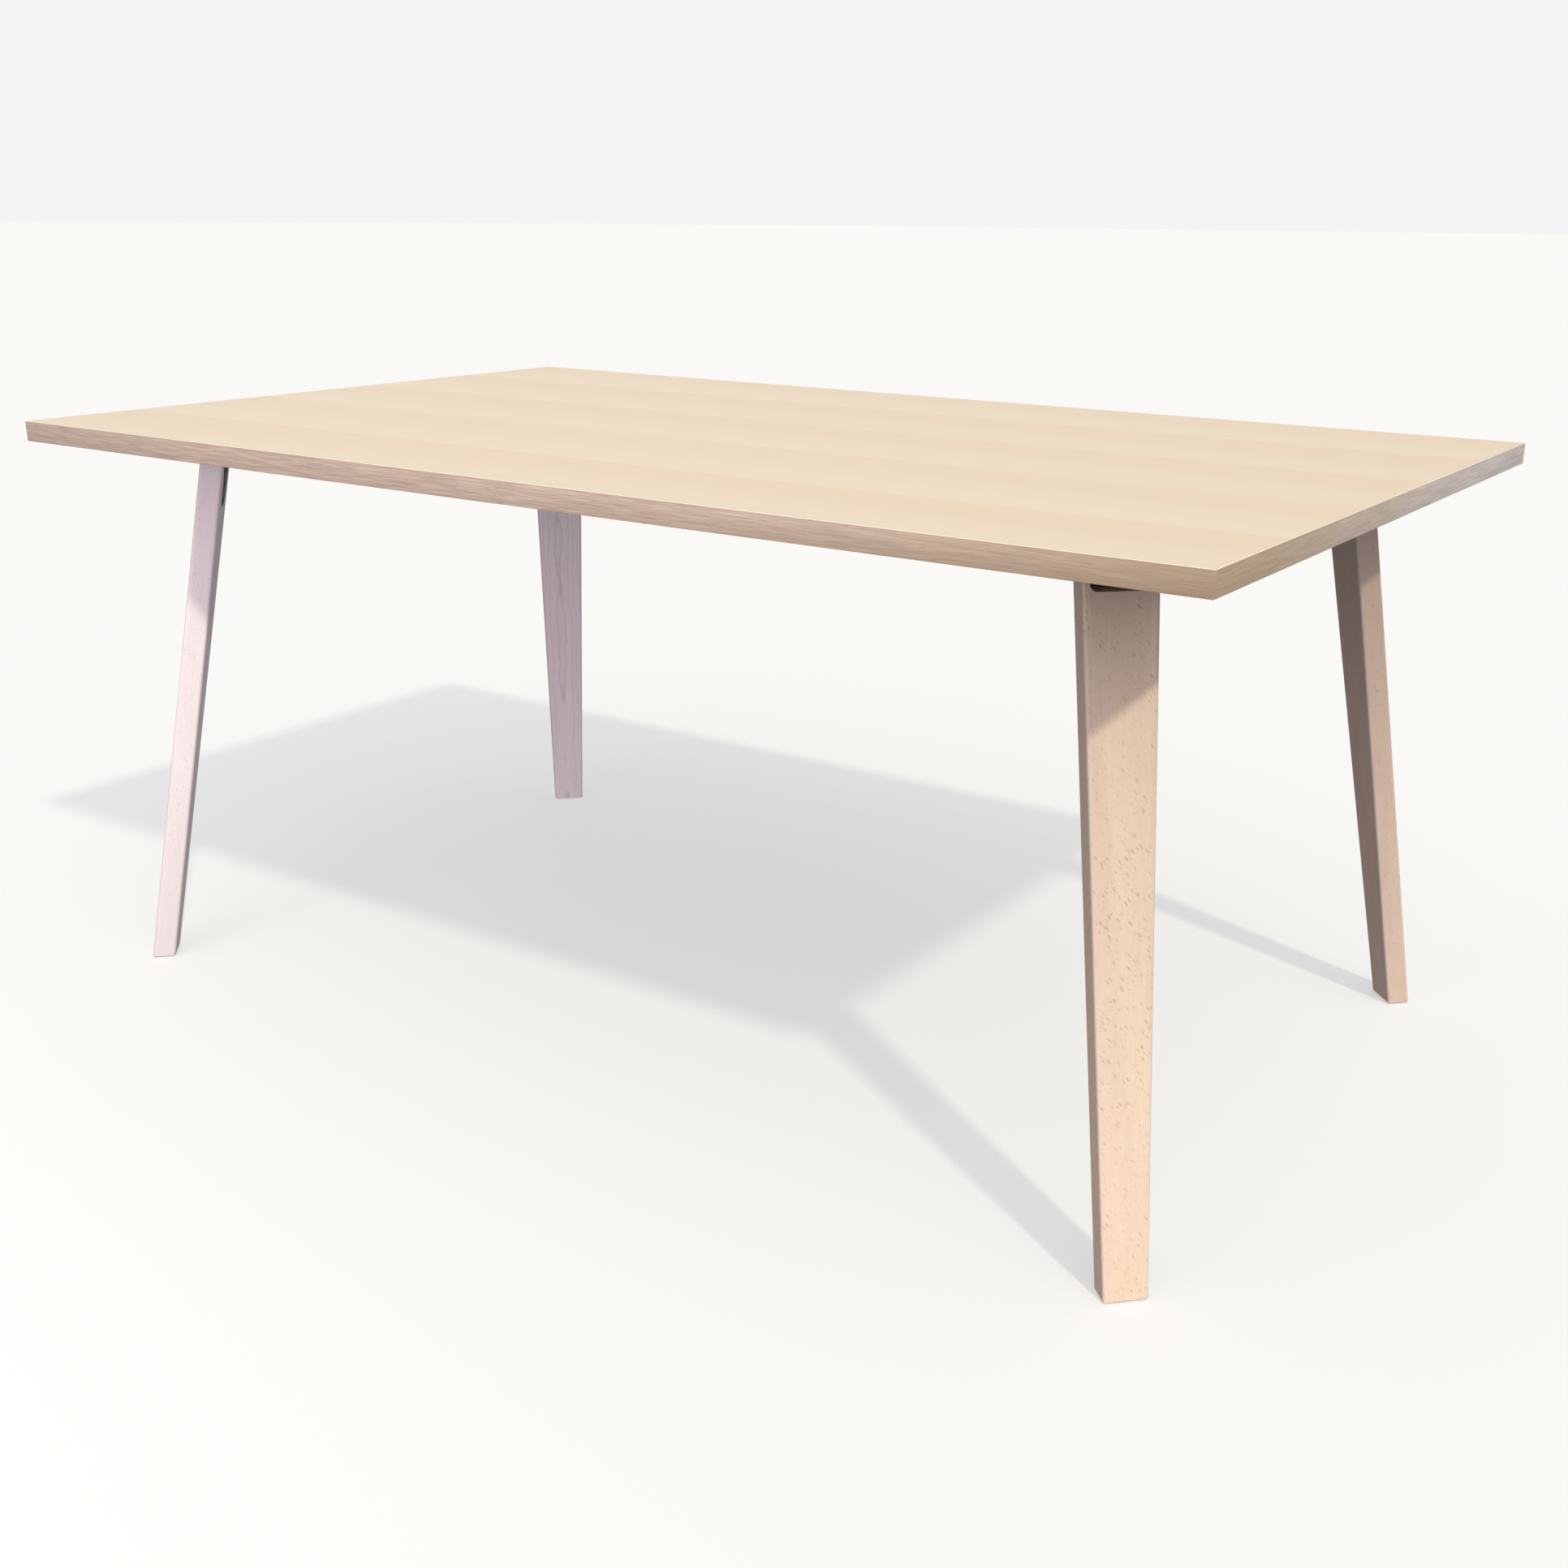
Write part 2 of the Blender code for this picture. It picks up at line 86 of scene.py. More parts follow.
# Brackets
PLATE_THICKNESS = 0.004
PLATE_EDGE_EASE = 0.0005
FLANGE_WIDTH = 0.056
FLANGE_OUTER_END = 0.058
FLANGE_INNER_END = -0.120
FLANGE_CORNER_RADIUS = 0.008
ARM_NECK_WIDTH = 0.052
ARM_NECK_BELOW_NOTCH = 0.002
ARM_SHOULDER_BELOW_NOTCH = 0.018
ARM_SHOULDER_RADIUS = 0.012
ARM_WIDTH = 0.036
ARM_BELOW_NOTCH = 0.0525
WELD_RADIUS = 0.0024
WELD_RIPPLE = 0.0002
WELD_PITCH = 0.0016

# Wood screws and bolts
WOOD_SCREW_LENGTH = 0.018
WOOD_SCREW_RADIUS = 0.002
WOOD_SCREW_HEAD_RADIUS = 0.0040
WOOD_SCREW_HEAD_HEIGHT = 0.0024
WOOD_SCREW_POINT = 0.004
CROSS_SPAN = 0.0042
CROSS_SLOT = 0.0010
CROSS_DEPTH = 0.0018
BOLT_LENGTH = 0.016
BOLT_RADIUS = 0.003
BOLT_HEAD_RADIUS = 0.0058
BOLT_HEAD_HEIGHT = 0.0032
BOLT_BELOW_NOTCH = 0.013
BOLT_SPACING = 0.022
HEX_RADIUS = 0.0023
HEX_DEPTH = 0.0022
HEAD_EASE = 0.00012

# Threaded inserts and foot glides
INSERT_RADIUS = 0.0046
INSERT_LENGTH = 0.013
GLIDE_RADIUS = 0.010
GLIDE_THICKNESS = 0.004
GLIDE_EDGE_RADIUS = 0.0008
GLIDE_RING_RADIUS = 0.0055
GLIDE_RING_DEPTH = 0.0004
SPIGOT_RADIUS = 0.004
SPIGOT_LENGTH = 0.012

# Top
ARRIS_RADIUS = 0.0006
SEAM = 0.00005
LEAF_WIDTH = 0.2048
FIRST_JOINT = -0.318

# Clearance, facets, and the largest angle that is shaded as one surface
GAP = 0.0003
ARC_STEPS = 12
RIM_STEPS = 3
ROUND_SIDES = 48
SMOOTH_ANGLE = radians(32)

LEAN = atan2(hypot(LEG_SPREAD, LEG_SPREAD), UNDERSIDE)
SPLAY = hypot(LEG_SPREAD, LEG_SPREAD)

# Corner name, signs of its X and Y
CORNERS = {
    "front_right": (1, -1),
    "back_right": (1, 1),
    "back_left": (-1, 1),
    "front_left": (-1, -1),
}

# Camera and light
CAMERA_PLACE = (1.34324, -1.84303, 1.02289)
CAMERA_HEADING = radians(33.663)
CAMERA_TILT = radians(-19.372)
CAMERA_ROLL = radians(0.5285)
CAMERA_LENS = 41.164
CAMERA_SHIFT = (-0.0331, 0.0250)
KEY_DIRECTION = (1.0, -0.55, 1.1)
KEY_STRENGTH = 1.65
KEY_SPREAD = radians(3)
KEY_COLOUR = (1.0, 0.97, 0.80)
FILL_PLACE = (-0.4, -2.6, 0.9)
FILL_TARGET = (-0.6, 0.0, 0.45)
FILL_SIZE = (1.4, 1.0)
FILL_POWER = 14
FILL_COLOUR = (1.0, 0.87, 0.90)
FLOOR_RADIUS = 60
FLOOR_GLOW = 0.48
BACKDROP = (0.90, 0.90, 0.90)
AMBIENT = (0.05, 0.05, 0.055)

# Painted highlights: pale tones along the rounded long edges of the legs and along the rounded top edge of
# the bands
PAINTED_EDGE_HIGHLIGHT = (0.90, 0.76, 0.72)
BAND_EDGE_HIGHLIGHT = (0.93, 0.85, 0.74)

# Broad glows of the studio: direction, sharpness, colour
GLOWS = (
    ((1.0, -1.0, 1.2), 3, (0.96, 0.90, 0.84)),
    ((1.0, -1.0, 0.1), 2, (0.46, 0.46, 0.585)),
    ((0.0, 0.0, 1.0), 1, (0.50, 0.50, 0.50)),
    ((0.0, 0.0, -1.0), 1, (0.12, 0.12, 0.12)),
    ((0.22, 1.0, -0.12), 16, (0.90, 0.90, 0.95)),
    ((-1.0, 1.0, 0.4), 4, (0.55, 0.56, 0.60)),
)


# --- meshes -------------------------------------------------------------------------


def shade(mesh):
    """Shade round surfaces smooth and keep real edges sharp."""
    mesh.shade_smooth()
    mesh.set_sharp_from_angle(angle=SMOOTH_ANGLE)
    return mesh


def mesh_from(bm, name):
    """Turn a bmesh into a mesh whose faces point out."""
    bmesh.ops.recalc_face_normals(bm, faces=bm.faces)
    mesh = bpy.data.meshes.new(name)
    bm.to_mesh(mesh)
    bm.free()
    return shade(mesh)


def rounded(corners):
    """Outline through (x, y, radius) corners, each rounded by its own radius."""
    outline = []
    count = len(corners)
    for index, (x, y, radius) in enumerate(corners):
        here = Vector((x, y))
        if radius == 0:
            outline.append(here)
            continue
        before = (Vector(corners[index - 1][:2]) - here).normalized()
        after = (Vector(corners[(index + 1) % count][:2]) - here).normalized()
        half = before.angle(after) / 2
        centre = here + (before + after).normalized() * radius / sin(half)
        start = here + before * radius / tan(half) - centre
        end = here + after * radius / tan(half) - centre
        turn = start.angle_signed(end)
        for step in range(ARC_STEPS + 1):
            spoke = start.copy()
            spoke.rotate(Matrix.Rotation(-turn * step / ARC_STEPS, 2))
            outline.append(centre + spoke)
    kept = [p for i, p in enumerate(outline) if (p - outline[i - 1]).length > 1e-6]
    return [tuple(point) for point in kept]


def oblong(half_x, half_y, radius):
    """Outline of a rectangle about the origin with rounded corners."""
    signs = ((1, 1), (-1, 1), (-1, -1), (1, -1))
    return rounded([(x * half_x, y * half_y, radius) for x, y in signs])


def skin(name, rings, place=Matrix.Identity(4)):
    """Closed mesh through rings of points that all have the same count."""
    bm = bmesh.new()
    rows = [[bm.verts.new(point) for point in ring] for ring in rings]
    count = len(rows[0])
    for low, high in zip(rows, rows[1:]):
        for index in range(count):
            after = (index + 1) % count
            bm.faces.new((low[index], low[after], high[after], high[index]))
    bm.faces.new(rows[0])
    bm.faces.new(rows[-1])
    bmesh.ops.transform(bm, verts=bm.verts, matrix=place)
    return mesh_from(bm, name)


def prism(name, outline, low, high, place=Matrix.Identity(4)):
    """Mesh of an outline in XY from one level to another, then placed."""
    rings = [[(x, y, level) for x, y in outline] for level in (low, high)]
    return skin(name, rings, place)


def eased_plate(name, outline, low, high, ease, place=Matrix.Identity(4)):
    """Plate of an outline whose rims are rounded."""
    bm = bmesh.new()
    base = bm.faces.new([bm.verts.new((x, y, low)) for x, y in outline])
    side = bmesh.ops.extrude_face_region(bm, geom=[base])["geom"]
    moved = [item for item in side if isinstance(item, bmesh.types.BMVert)]
    bmesh.ops.translate(bm, verts=moved, vec=(0, 0, high - low))
    rims = [edge for edge in bm.edges if abs(edge.verts[0].co.z - edge.verts[1].co.z) < 1e-7]
    bmesh.ops.bevel(bm, geom=rims, offset=ease, segments=3, profile=0.5, affect="EDGES")
    bmesh.ops.transform(bm, verts=bm.verts, matrix=place)
    return mesh_from(bm, name)


def eased_block(name, low, high, ease, segments=3):
    """Rectangular block between two corners with all its edges rounded."""
    low, high = Vector(low), Vector(high)
    bm = bmesh.new()
    bmesh.ops.create_cube(bm, size=1)
    bmesh.ops.scale(bm, verts=bm.verts, vec=high - low)
    bmesh.ops.translate(bm, verts=bm.verts, vec=(low + high) / 2)
    bmesh.ops.bevel(bm, geom=bm.edges[:], offset=ease, segments=segments, profile=0.5, affect="EDGES")
    return mesh_from(bm, name)


def turned(name, profile, sides=ROUND_SIDES, place=Matrix.Identity(4)):
    """Mesh of an (r, z) profile spun about Z, then placed."""
    bm = bmesh.new()
    points = [bm.verts.new((r, 0, z)) for r, z in profile]
    lines = [bm.edges.new(pair) for pair in zip(points, points[1:])]
    bmesh.ops.spin(
        bm, geom=points + lines, cent=(0, 0, 0), axis=(0, 0, 1), angle=2 * pi, steps=sides, use_merge=True
    )
    bmesh.ops.remove_doubles(bm, verts=bm.verts, dist=1e-6)
    bmesh.ops.transform(bm, verts=bm.verts, matrix=place)
    return mesh_from(bm, name)


def repeated(name, mesh, places):
    """One mesh of copies at every place."""
    bm = bmesh.new()
    for place in places:
        before = len(bm.verts)
        bm.from_mesh(mesh)
        bm.verts.ensure_lookup_table()
        bmesh.ops.transform(bm, verts=bm.verts[before:], matrix=place)
    return mesh_from(bm, name)


def combined(name, mesh, cuts, fused=()):
    """Fuse and cut a mesh, and give back the result as a plain mesh."""
    scene = bpy.context.scene.collection
    holder = bpy.data.objects.new(name + "_blank", mesh)
    scene.objects.link(holder)
    tools = []
    for operation, pieces in (("UNION", fused), ("DIFFERENCE", cuts)):
        for piece in pieces:
            tool = bpy.data.objects.new(piece.name + "_tool", piece)
            scene.objects.link(tool)
            modifier = holder.modifiers.new(piece.name, "BOOLEAN")
            modifier.operation = operation
            modifier.solver = "EXACT"
            modifier.object = tool
            tools.append(tool)
    bpy.context.view_layer.update()
    graph = bpy.context.evaluated_depsgraph_get()
    result = bpy.data.meshes.new_from_object(holder.evaluated_get(graph))
    for item in [holder, *tools]:
        bpy.data.objects.remove(item, do_unlink=True)
    bm = bmesh.new()
    bm.from_mesh(result)
    bmesh.ops.dissolve_degenerate(bm, edges=bm.edges, dist=1e-6)
    return mesh_from(bm, name)


# --- pieces on the frame ------------------------------------------------------------


def piece(name, mesh, look, slot, nodes, place=Matrix.Identity(4)):
    """A piece that stands for CAD nodes, with its own copy of a mesh and one material."""
    made = bpy.data.objects.new(name, mesh.copy())
    bpy.context.scene.collection.objects.link(made)
    made.matrix_world = place
    made.data.materials.clear()
    made.data.materials.append(look)
    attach(made, "root")
    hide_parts(*nodes)
    return made


def repaint(nodes, look):
    """Give CAD nodes whose shape stays another material."""
    for node in nodes:
        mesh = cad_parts[node].data
        mesh.materials.clear()
        mesh.materials.append(look)


def corner_place(corner):
    """A corner's frame, from where its foot glide stands."""
    sign_x, sign_y = CORNERS[corner]
    low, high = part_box("foot_glide_" + corner)
    foot = (low + high) / 2
    head = Vector((foot.x - sign_x * LEG_SPREAD, foot.y - sign_y * LEG_SPREAD, UNDERSIDE))
    return Matrix.Translation(head) @ Matrix.Rotation(atan2(sign_y, sign_x), 4, "Z")


def leaning_place():
    """Frame on the leg's inner face at the underside: +X across the leg, +Y up the
    slope of the face, +Z out of the leg towards the middle of the table."""
    across = Vector((0, -1, 0))
    up_slope = Vector((-sin(LEAN), 0, cos(LEAN)))
    turn = Matrix((across, up_slope, across.cross(up_slope))).transposed()
    return Matrix.Translation((-LEG_THICKNESS / 2, 0, 0)) @ turn.to_4x4()


def slope(depth):
    """Distance down the leg's slope for a vertical depth below the underside."""
    return depth / cos(LEAN)


def bolt_places():
    """Places on the arm's face, one below the other. +Z points out of the face."""
    upper = -slope(NOTCH_DEPTH + BOLT_BELOW_NOTCH)
    return [leaning_place() @ Matrix.Translation((0, y, 0)) for y in (upper, upper - BOLT_SPACING)]


def wood_screw_place(corner, number, place):
    """Where a wood screw's head lies, in its corner's frame."""
    low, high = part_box(f"wood_screw_{corner}_{number}")
    spot = place.inverted() @ ((low + high) / 2)
    return Matrix.Translation((spot.x, spot.y, FLANGE_LEVEL))


# --- legs ---------------------------------------------------------------------------


def leg_ring(level, inset):
    """The leg's outline at a level, drawn in by an inset."""
    drop = -level / UNDERSIDE
    middle = SPLAY * drop
    width = LEG_HEAD_WIDTH + (LEG_FOOT_WIDTH - LEG_HEAD_WIDTH) * drop
    outline = oblong(LEG_THICKNESS / 2 - inset, width / 2 - inset, LEG_EDGE_RADIUS - inset)
    return [(middle + x, y, level) for x, y in outline]


def notch_ring(across, margin):
    """The notch's outline, widened by a margin, at a distance from the middle of the leg's
    thickness, following the lean of its faces."""
    half = NOTCH_WIDTH / 2 + margin
    depth = NOTCH_DEPTH + margin
    radius = NOTCH_CORNER_RADIUS + margin
    over = 0.002
    outline = rounded([(half, over, 0), (half, -depth, radius), (-half, -depth, radius), (-half, over, 0)])
    return [(across - level * tan(LEAN), y, level) for y, level in outline]


def notch_cutter():
    """The notch through the leg's head, open at the top, with rounded rims."""
    face = LEG_THICKNESS / 2
    rim = []
    for step in range(RIM_STEPS + 1):
        turn = pi / 2 * step / RIM_STEPS
        rim.append((NOTCH_RIM_EASE * (1 - cos(turn)) - face, NOTCH_RIM_EASE * (1 - sin(turn))))
    side = [(-2 * face, NOTCH_RIM_EASE), *rim]
    other_side = [(-across, margin) for across, margin in reversed(side)]
    return skin("notch", [notch_ring(across, margin) for across, margin in side + other_side])


def arm_outline(margin, top):
    """The bracket's arm on the leg's inner face: a wide neck across the notch that
    narrows to a tongue with a round lower end."""
    neck = ARM_NECK_WIDTH / 2 + margin
    half = ARM_WIDTH / 2 + margin
    neck_end = -slope(NOTCH_DEPTH + ARM_NECK_BELOW_NOTCH)
    shoulder = -slope(NOTCH_DEPTH + ARM_SHOULDER_BELOW_NOTCH)
    end = -slope(NOTCH_DEPTH + ARM_BELOW_NOTCH) - margin
    side = [
        (neck, top, 0),
        (neck, neck_end, ARM_SHOULDER_RADIUS),
        (half, shoulder, ARM_SHOULDER_RADIUS),
        (half, end, half),
    ]
    other_side = [(-x, y, radius) for x, y, radius in reversed(side)]
    return rounded(side + other_side)


def arm_recess_cutter():
    """The recess that lets the bracket's arm into the leg's inner face."""
    outline = arm_outline(GAP, PLATE_THICKNESS)
    return prism("arm_recess", outline, -PLATE_THICKNESS - GAP, LEG_THICKNESS, leaning_place())


def insert_bores_cutter():
    """The blind bores for the threaded inserts, from the floor of the arm's recess."""
    radius = INSERT_RADIUS + GAP
    front = -PLATE_THICKNESS / 2
    end = -PLATE_THICKNESS - INSERT_LENGTH - 3 * GAP
    bore = turned("bore", [(0, end), (radius, end), (radius, front), (0, front)])
    return repeated("insert_bores", bore, bolt_places())


def glide_bore_cutter():
    """The counterbore and the spigot's hole in the leg's foot."""
    seat = FLOOR_LEVEL + GLIDE_THICKNESS + GAP
    end = seat + SPIGOT_LENGTH
    below = FLOOR_LEVEL - GLIDE_THICKNESS
    profile = [
        (0, below),
        (GLIDE_RADIUS + GAP, below),
        (GLIDE_RADIUS + GAP, seat),
        (SPIGOT_RADIUS + GAP, seat),
        (SPIGOT_RADIUS + GAP, end),
        (0, end),
    ]
    return turned("glide_bore", profile, place=Matrix.Translation((SPLAY, 0, 0)))


def leg_mesh():
    """Tapered leg with rounded long edges and eased ends, notched for its bracket."""
    head = -GAP
    rings = [
        leg_ring(FOOT_LEVEL, LEG_END_EASE),
        leg_ring(FOOT_LEVEL + LEG_END_EASE, 0),
        leg_ring(head, 0),
    ]
    blank = skin("leg", rings)
    cuts = [notch_cutter(), arm_recess_cutter(), insert_bores_cutter(), glide_bore_cutter()]
    return combined("leg", blank, cuts)


# --- brackets and fasteners ---------------------------------------------------------


def screw_hole_mesh(head_radius, head_height, shank_radius, direction):
    """Countersunk hole through a plate, for a head that lies flush with its face."""
    flare = (head_radius - shank_radius) / head_height
    over = GAP * 4
    play = GAP / 2
    profile = [
        (0, -over),
        (head_radius + play + flare * over, -over),
        (shank_radius + play, head_height + play / flare),
        (shank_radius + play, PLATE_THICKNESS + over),
        (0, PLATE_THICKNESS + over),
    ]
    return turned("screw_hole", [(r, direction * z) for r, z in profile])


def weld_bead_mesh():
    """Rippled fillet of weld where the arm's inner face meets the flange."""
    face_x = -LEG_THICKNESS / 2 - FLANGE_LEVEL * tan(LEAN)
    half = ARM_NECK_WIDTH / 2 - WELD_RADIUS
    steps = round(2 * half / WELD_PITCH) * 8
    sides = 16
    rings = []
    for step in range(steps + 1):
        share = step / steps * 2 - 1
        swell = (1 - abs(share) ** 8) ** 0.5 * WELD_RADIUS + 0.0002
        ripple = WELD_RIPPLE * sin(2 * pi * step * 2 * half / steps / WELD_PITCH)
        radius = swell + ripple * (1 - abs(share) ** 8)
        turns = [2 * pi * side / sides for side in range(sides)]
        rings.append(
            [(face_x + radius * cos(t), half * share, FLANGE_LEVEL + radius * sin(t)) for t in turns]
        )
    return skin("weld_bead", rings)


def bracket_mesh(screw_places):
    """Steel bracket: a flange under the top with the arm welded to it."""
    half = FLANGE_WIDTH / 2
    outline = rounded(
        [
            (FLANGE_OUTER_END, half, FLANGE_CORNER_RADIUS),
            (FLANGE_INNER_END, half, half),
            (FLANGE_INNER_END, -half, half),
            (FLANGE_OUTER_END, -half, FLANGE_CORNER_RADIUS),
        ]
    )
    flange = eased_plate("flange", outline, FLANGE_LEVEL, -GAP / 3, PLATE_EDGE_EASE)
    arm_shape = arm_outline(0, -PLATE_THICKNESS / 2)
    arm = eased_plate("arm", arm_shape, -PLATE_THICKNESS, 0, PLATE_EDGE_EASE, leaning_place())
    wood_hole = screw_hole_mesh(WOOD_SCREW_HEAD_RADIUS, WOOD_SCREW_HEAD_HEIGHT, WOOD_SCREW_RADIUS, 1)
    bolt_hole = screw_hole_mesh(BOLT_HEAD_RADIUS, BOLT_HEAD_HEIGHT, BOLT_RADIUS, -1)
    cuts = [
        repeated("wood_screw_holes", wood_hole, screw_places),
        repeated("bolt_holes", bolt_hole, bolt_places()),
    ]
    return combined("bracket", flange, cuts, fused=[arm, weld_bead_mesh()])


def cross_outline(scale):
    """Outline of the cross recess."""
    arm = CROSS_SPAN / 2 * scale
    slot = CROSS_SLOT / 2 * (0.5 + scale / 2)
    return [
        (arm, slot), (slot, slot), (slot, arm), (-slot, arm), (-slot, slot), (-arm, slot),
        (-arm, -slot), (-slot, -slot), (-slot, -arm), (slot, -arm), (slot, -slot), (arm, -slot),
    ]


def wood_screw_mesh():
    """Countersunk wood screw with a tapered cross recess, pointing up from its head."""
    profile = [
        (0, 0),
        (WOOD_SCREW_HEAD_RADIUS - HEAD_EASE, 0),
        (WOOD_SCREW_HEAD_RADIUS, HEAD_EASE),
        (WOOD_SCREW_RADIUS, WOOD_SCREW_HEAD_HEIGHT),
        (WOOD_SCREW_RADIUS, WOOD_SCREW_LENGTH - WOOD_SCREW_POINT),
        (0, WOOD_SCREW_LENGTH),
    ]
    blank = turned("wood_screw", profile)
    mouth = [(x, y, -CROSS_DEPTH) for x, y in cross_outline(1.5)]
    bottom = [(x, y, CROSS_DEPTH) for x, y in cross_outline(0.5)]
    return combined("wood_screw", blank, [skin("cross_recess", [mouth, bottom])])


def bolt_mesh():
    """Countersunk bolt with a hexagon socket, its head at zero and its shank along -Z."""
    profile = [
        (0, 0),
        (BOLT_HEAD_RADIUS - HEAD_EASE, 0),
        (BOLT_HEAD_RADIUS, -HEAD_EASE),
        (BOLT_RADIUS, -BOLT_HEAD_HEIGHT),
        (BOLT_RADIUS, -BOLT_LENGTH),
        (0, -BOLT_LENGTH),
    ]
    blank = turned("bolt", profile)
    socket = [
        (0, -HEX_DEPTH - HEX_RADIUS / 3),
        (HEX_RADIUS, -HEX_DEPTH),
        (HEX_RADIUS, HEX_DEPTH),
        (0, HEX_DEPTH),
    ]
    return combined("bolt", blank, [turned("hex_socket", socket, 6)])


def glide_mesh():
    """Nylon glide with rounded rims, a moulded ring below and a spigot into the foot."""
    top = FLOOR_LEVEL + GLIDE_THICKNESS
    edge = GLIDE_EDGE_RADIUS
    corner = [
        (GLIDE_RADIUS - edge + edge * sin(turn), FLOOR_LEVEL + edge - edge * cos(turn))
        for turn in (pi / 2 * step / 6 for step in range(7))
    ]
    profile = [
        (0, FLOOR_LEVEL),
        (GLIDE_RING_RADIUS - GLIDE_RING_DEPTH, FLOOR_LEVEL),
        (GLIDE_RING_RADIUS, FLOOR_LEVEL + GLIDE_RING_DEPTH),
        (GLIDE_RING_RADIUS + GLIDE_RING_DEPTH, FLOOR_LEVEL),
        *corner,
        (GLIDE_RADIUS, top),
        (SPIGOT_RADIUS, top),
        (SPIGOT_RADIUS, top + SPIGOT_LENGTH - GAP),
        (0, top + SPIGOT_LENGTH - GAP),
    ]
    return turned("glide", profile, place=Matrix.Translation((SPLAY, 0, 0)))


# --- shader nodes -------------------------------------------------------------------


def new_look(name):
    """A material, its node tree and its Principled shader."""
    made = bpy.data.materials.new(name)
    made.use_nodes = True
    return made, made.node_tree, made.node_tree.nodes["Principled BSDF"]


def add(tree, kind, feeds, **settings):
    """A node with its settings, and with its inputs linked or set."""
    made = tree.nodes.new(kind)
    for key, value in settings.items():
        setattr(made, key, value)
    for socket, value in feeds.items():
        if isinstance(value, bpy.types.NodeSocket):
            tree.links.new(value, made.inputs[socket])
        else:
            made.inputs[socket].default_value = value
    return made


def feed(tree, shader, **sources):
    """Link sources to a shader's sockets, named in lower case with underscores."""
    for name, source in sources.items():
        tree.links.new(source, shader.inputs[name.replace("_", " ").title()])


def settle(shader, **values):
    """Set a shader's sockets to plain values."""
    for name, value in values.items():
        title = name.replace("_", " ").title().replace("Ior", "IOR")
        shader.inputs[title].default_value = value


def calculate(tree, operation, first, second=0.0, third=0.0):
    """One step of arithmetic."""
    feeds = {0: first, 1: second, 2: third}
    return add(tree, "ShaderNodeMath", feeds, operation=operation).outputs[0]


def spread(tree, value, low, high, to_low=0.0, to_high=1.0):
    """Map a range onto another, held at its ends."""
    feeds = {"Value": value, "From Min": low, "From Max": high, "To Min": to_low, "To Max": to_high}
    return add(tree, "ShaderNodeMapRange", feeds).outputs["Result"]


def weighed(tree, *parts):
    """Sum of (value, weight) parts."""
    total = 0.0
    for value, weight in parts:
        total = calculate(tree, "MULTIPLY_ADD", value, weight, total)
    return total


def blended(tree, share, first, second):
    """Mix two colours."""
    made = add(tree, "ShaderNodeMix", {"Factor": share}, data_type="RGBA")
    for socket, value in ((made.inputs[6], first), (made.inputs[7], second)):
        if isinstance(value, bpy.types.NodeSocket):
            tree.links.new(value, socket)
        else:
            socket.default_value = (*value, 1.0)
    return made.outputs[2]


def scaled(tree, colour, factor):
    """Lighten or darken a colour by a factor."""
    return add(tree, "ShaderNodeVectorMath", {0: colour, "Scale": factor}, operation="SCALE").outputs[0]


def shifted_colour(colour, factors):
    """A colour with each channel multiplied by a factor."""
    return tuple(channel * factor for channel, factor in zip(colour, factors))


def ramped(tree, share, stops):
    """Read a value off a curve of (place, value) stops."""
    made = add(tree, "ShaderNodeValToRGB", {"Fac": share})
    elements = made.color_ramp.elements
    while len(elements) < len(stops):
        elements.new(0.5)
    for element, (place, value) in zip(elements, stops):
        element.position = place
        element.color = (value, value, value, 1.0)
    return made.outputs["Color"]


def here(tree, turn=(0, 0, 0), shift=(0, 0, 0)):
    """The piece's own coordinates, turned and then shifted."""
    source = add(tree, "ShaderNodeTexCoord", {}).outputs["Object"]
    return add(tree, "ShaderNodeMapping", {"Vector": source, "Rotation": turn, "Location": shift}).outputs[0]


def sized(tree, place, size):
    """Coordinates counted in cells of a size along each axis."""
    return add(tree, "ShaderNodeVectorMath", {0: place, 1: size}, operation="DIVIDE").outputs[0]


def turned_place(tree, place, turn):
    """Coordinates turned by three angles."""
    return add(tree, "ShaderNodeMapping", {"Vector": place, "Rotation": turn}).outputs[0]


def noise(tree, place, size, detail=3.0, rough=0.55, wander=0.0):
    """Noise whose marks are about a size along each axis."""
    feeds = {
        "Vector": sized(tree, place, size),
        "Scale": 1.0,
        "Detail": detail,
        "Roughness": rough,
        "Distortion": wander,
    }
    return add(tree, "ShaderNodeTexNoise", feeds).outputs["Fac"]


def marks(tree, place, cell, share, radius):
    """Mask of short marks of mixed strength in a share of the cells, fading to their rims."""
    feeds = {"Vector": sized(tree, place, cell), "Scale": 1.0, "Randomness": 1.0}
    cells = add(tree, "ShaderNodeTexVoronoi", feeds, feature="F1")
    core = spread(tree, cells.outputs["Distance"], radius, radius * 0.5)
    lots = add(tree, "ShaderNodeSeparateColor", {"Color": cells.outputs["Color"]}).outputs
    chosen = calculate(tree, "LESS_THAN", lots[0], share)
    strength = spread(tree, lots[1], 0.0, 1.0, 0.35, 1.0)
    return calculate(tree, "MULTIPLY", calculate(tree, "MULTIPLY", core, chosen), strength)


def wavered(tree, place, size, reach):
    """Coordinates that wander by up to a reach in waves of a size."""
    feeds = {"Vector": sized(tree, place, (size, size, size)), "Scale": 1.0, "Detail": 2.0}
    drift = add(tree, "ShaderNodeTexNoise", feeds).outputs["Color"]
    feeds = {0: drift, 1: (0.5, 0.5, 0.5)}
    centred = add(tree, "ShaderNodeVectorMath", feeds, operation="SUBTRACT").outputs[0]
    feeds = {0: centred, 1: (2 * reach, 2 * reach, 2 * reach), 2: place}
    return add(tree, "ShaderNodeVectorMath", feeds, operation="MULTIPLY_ADD").outputs[0]


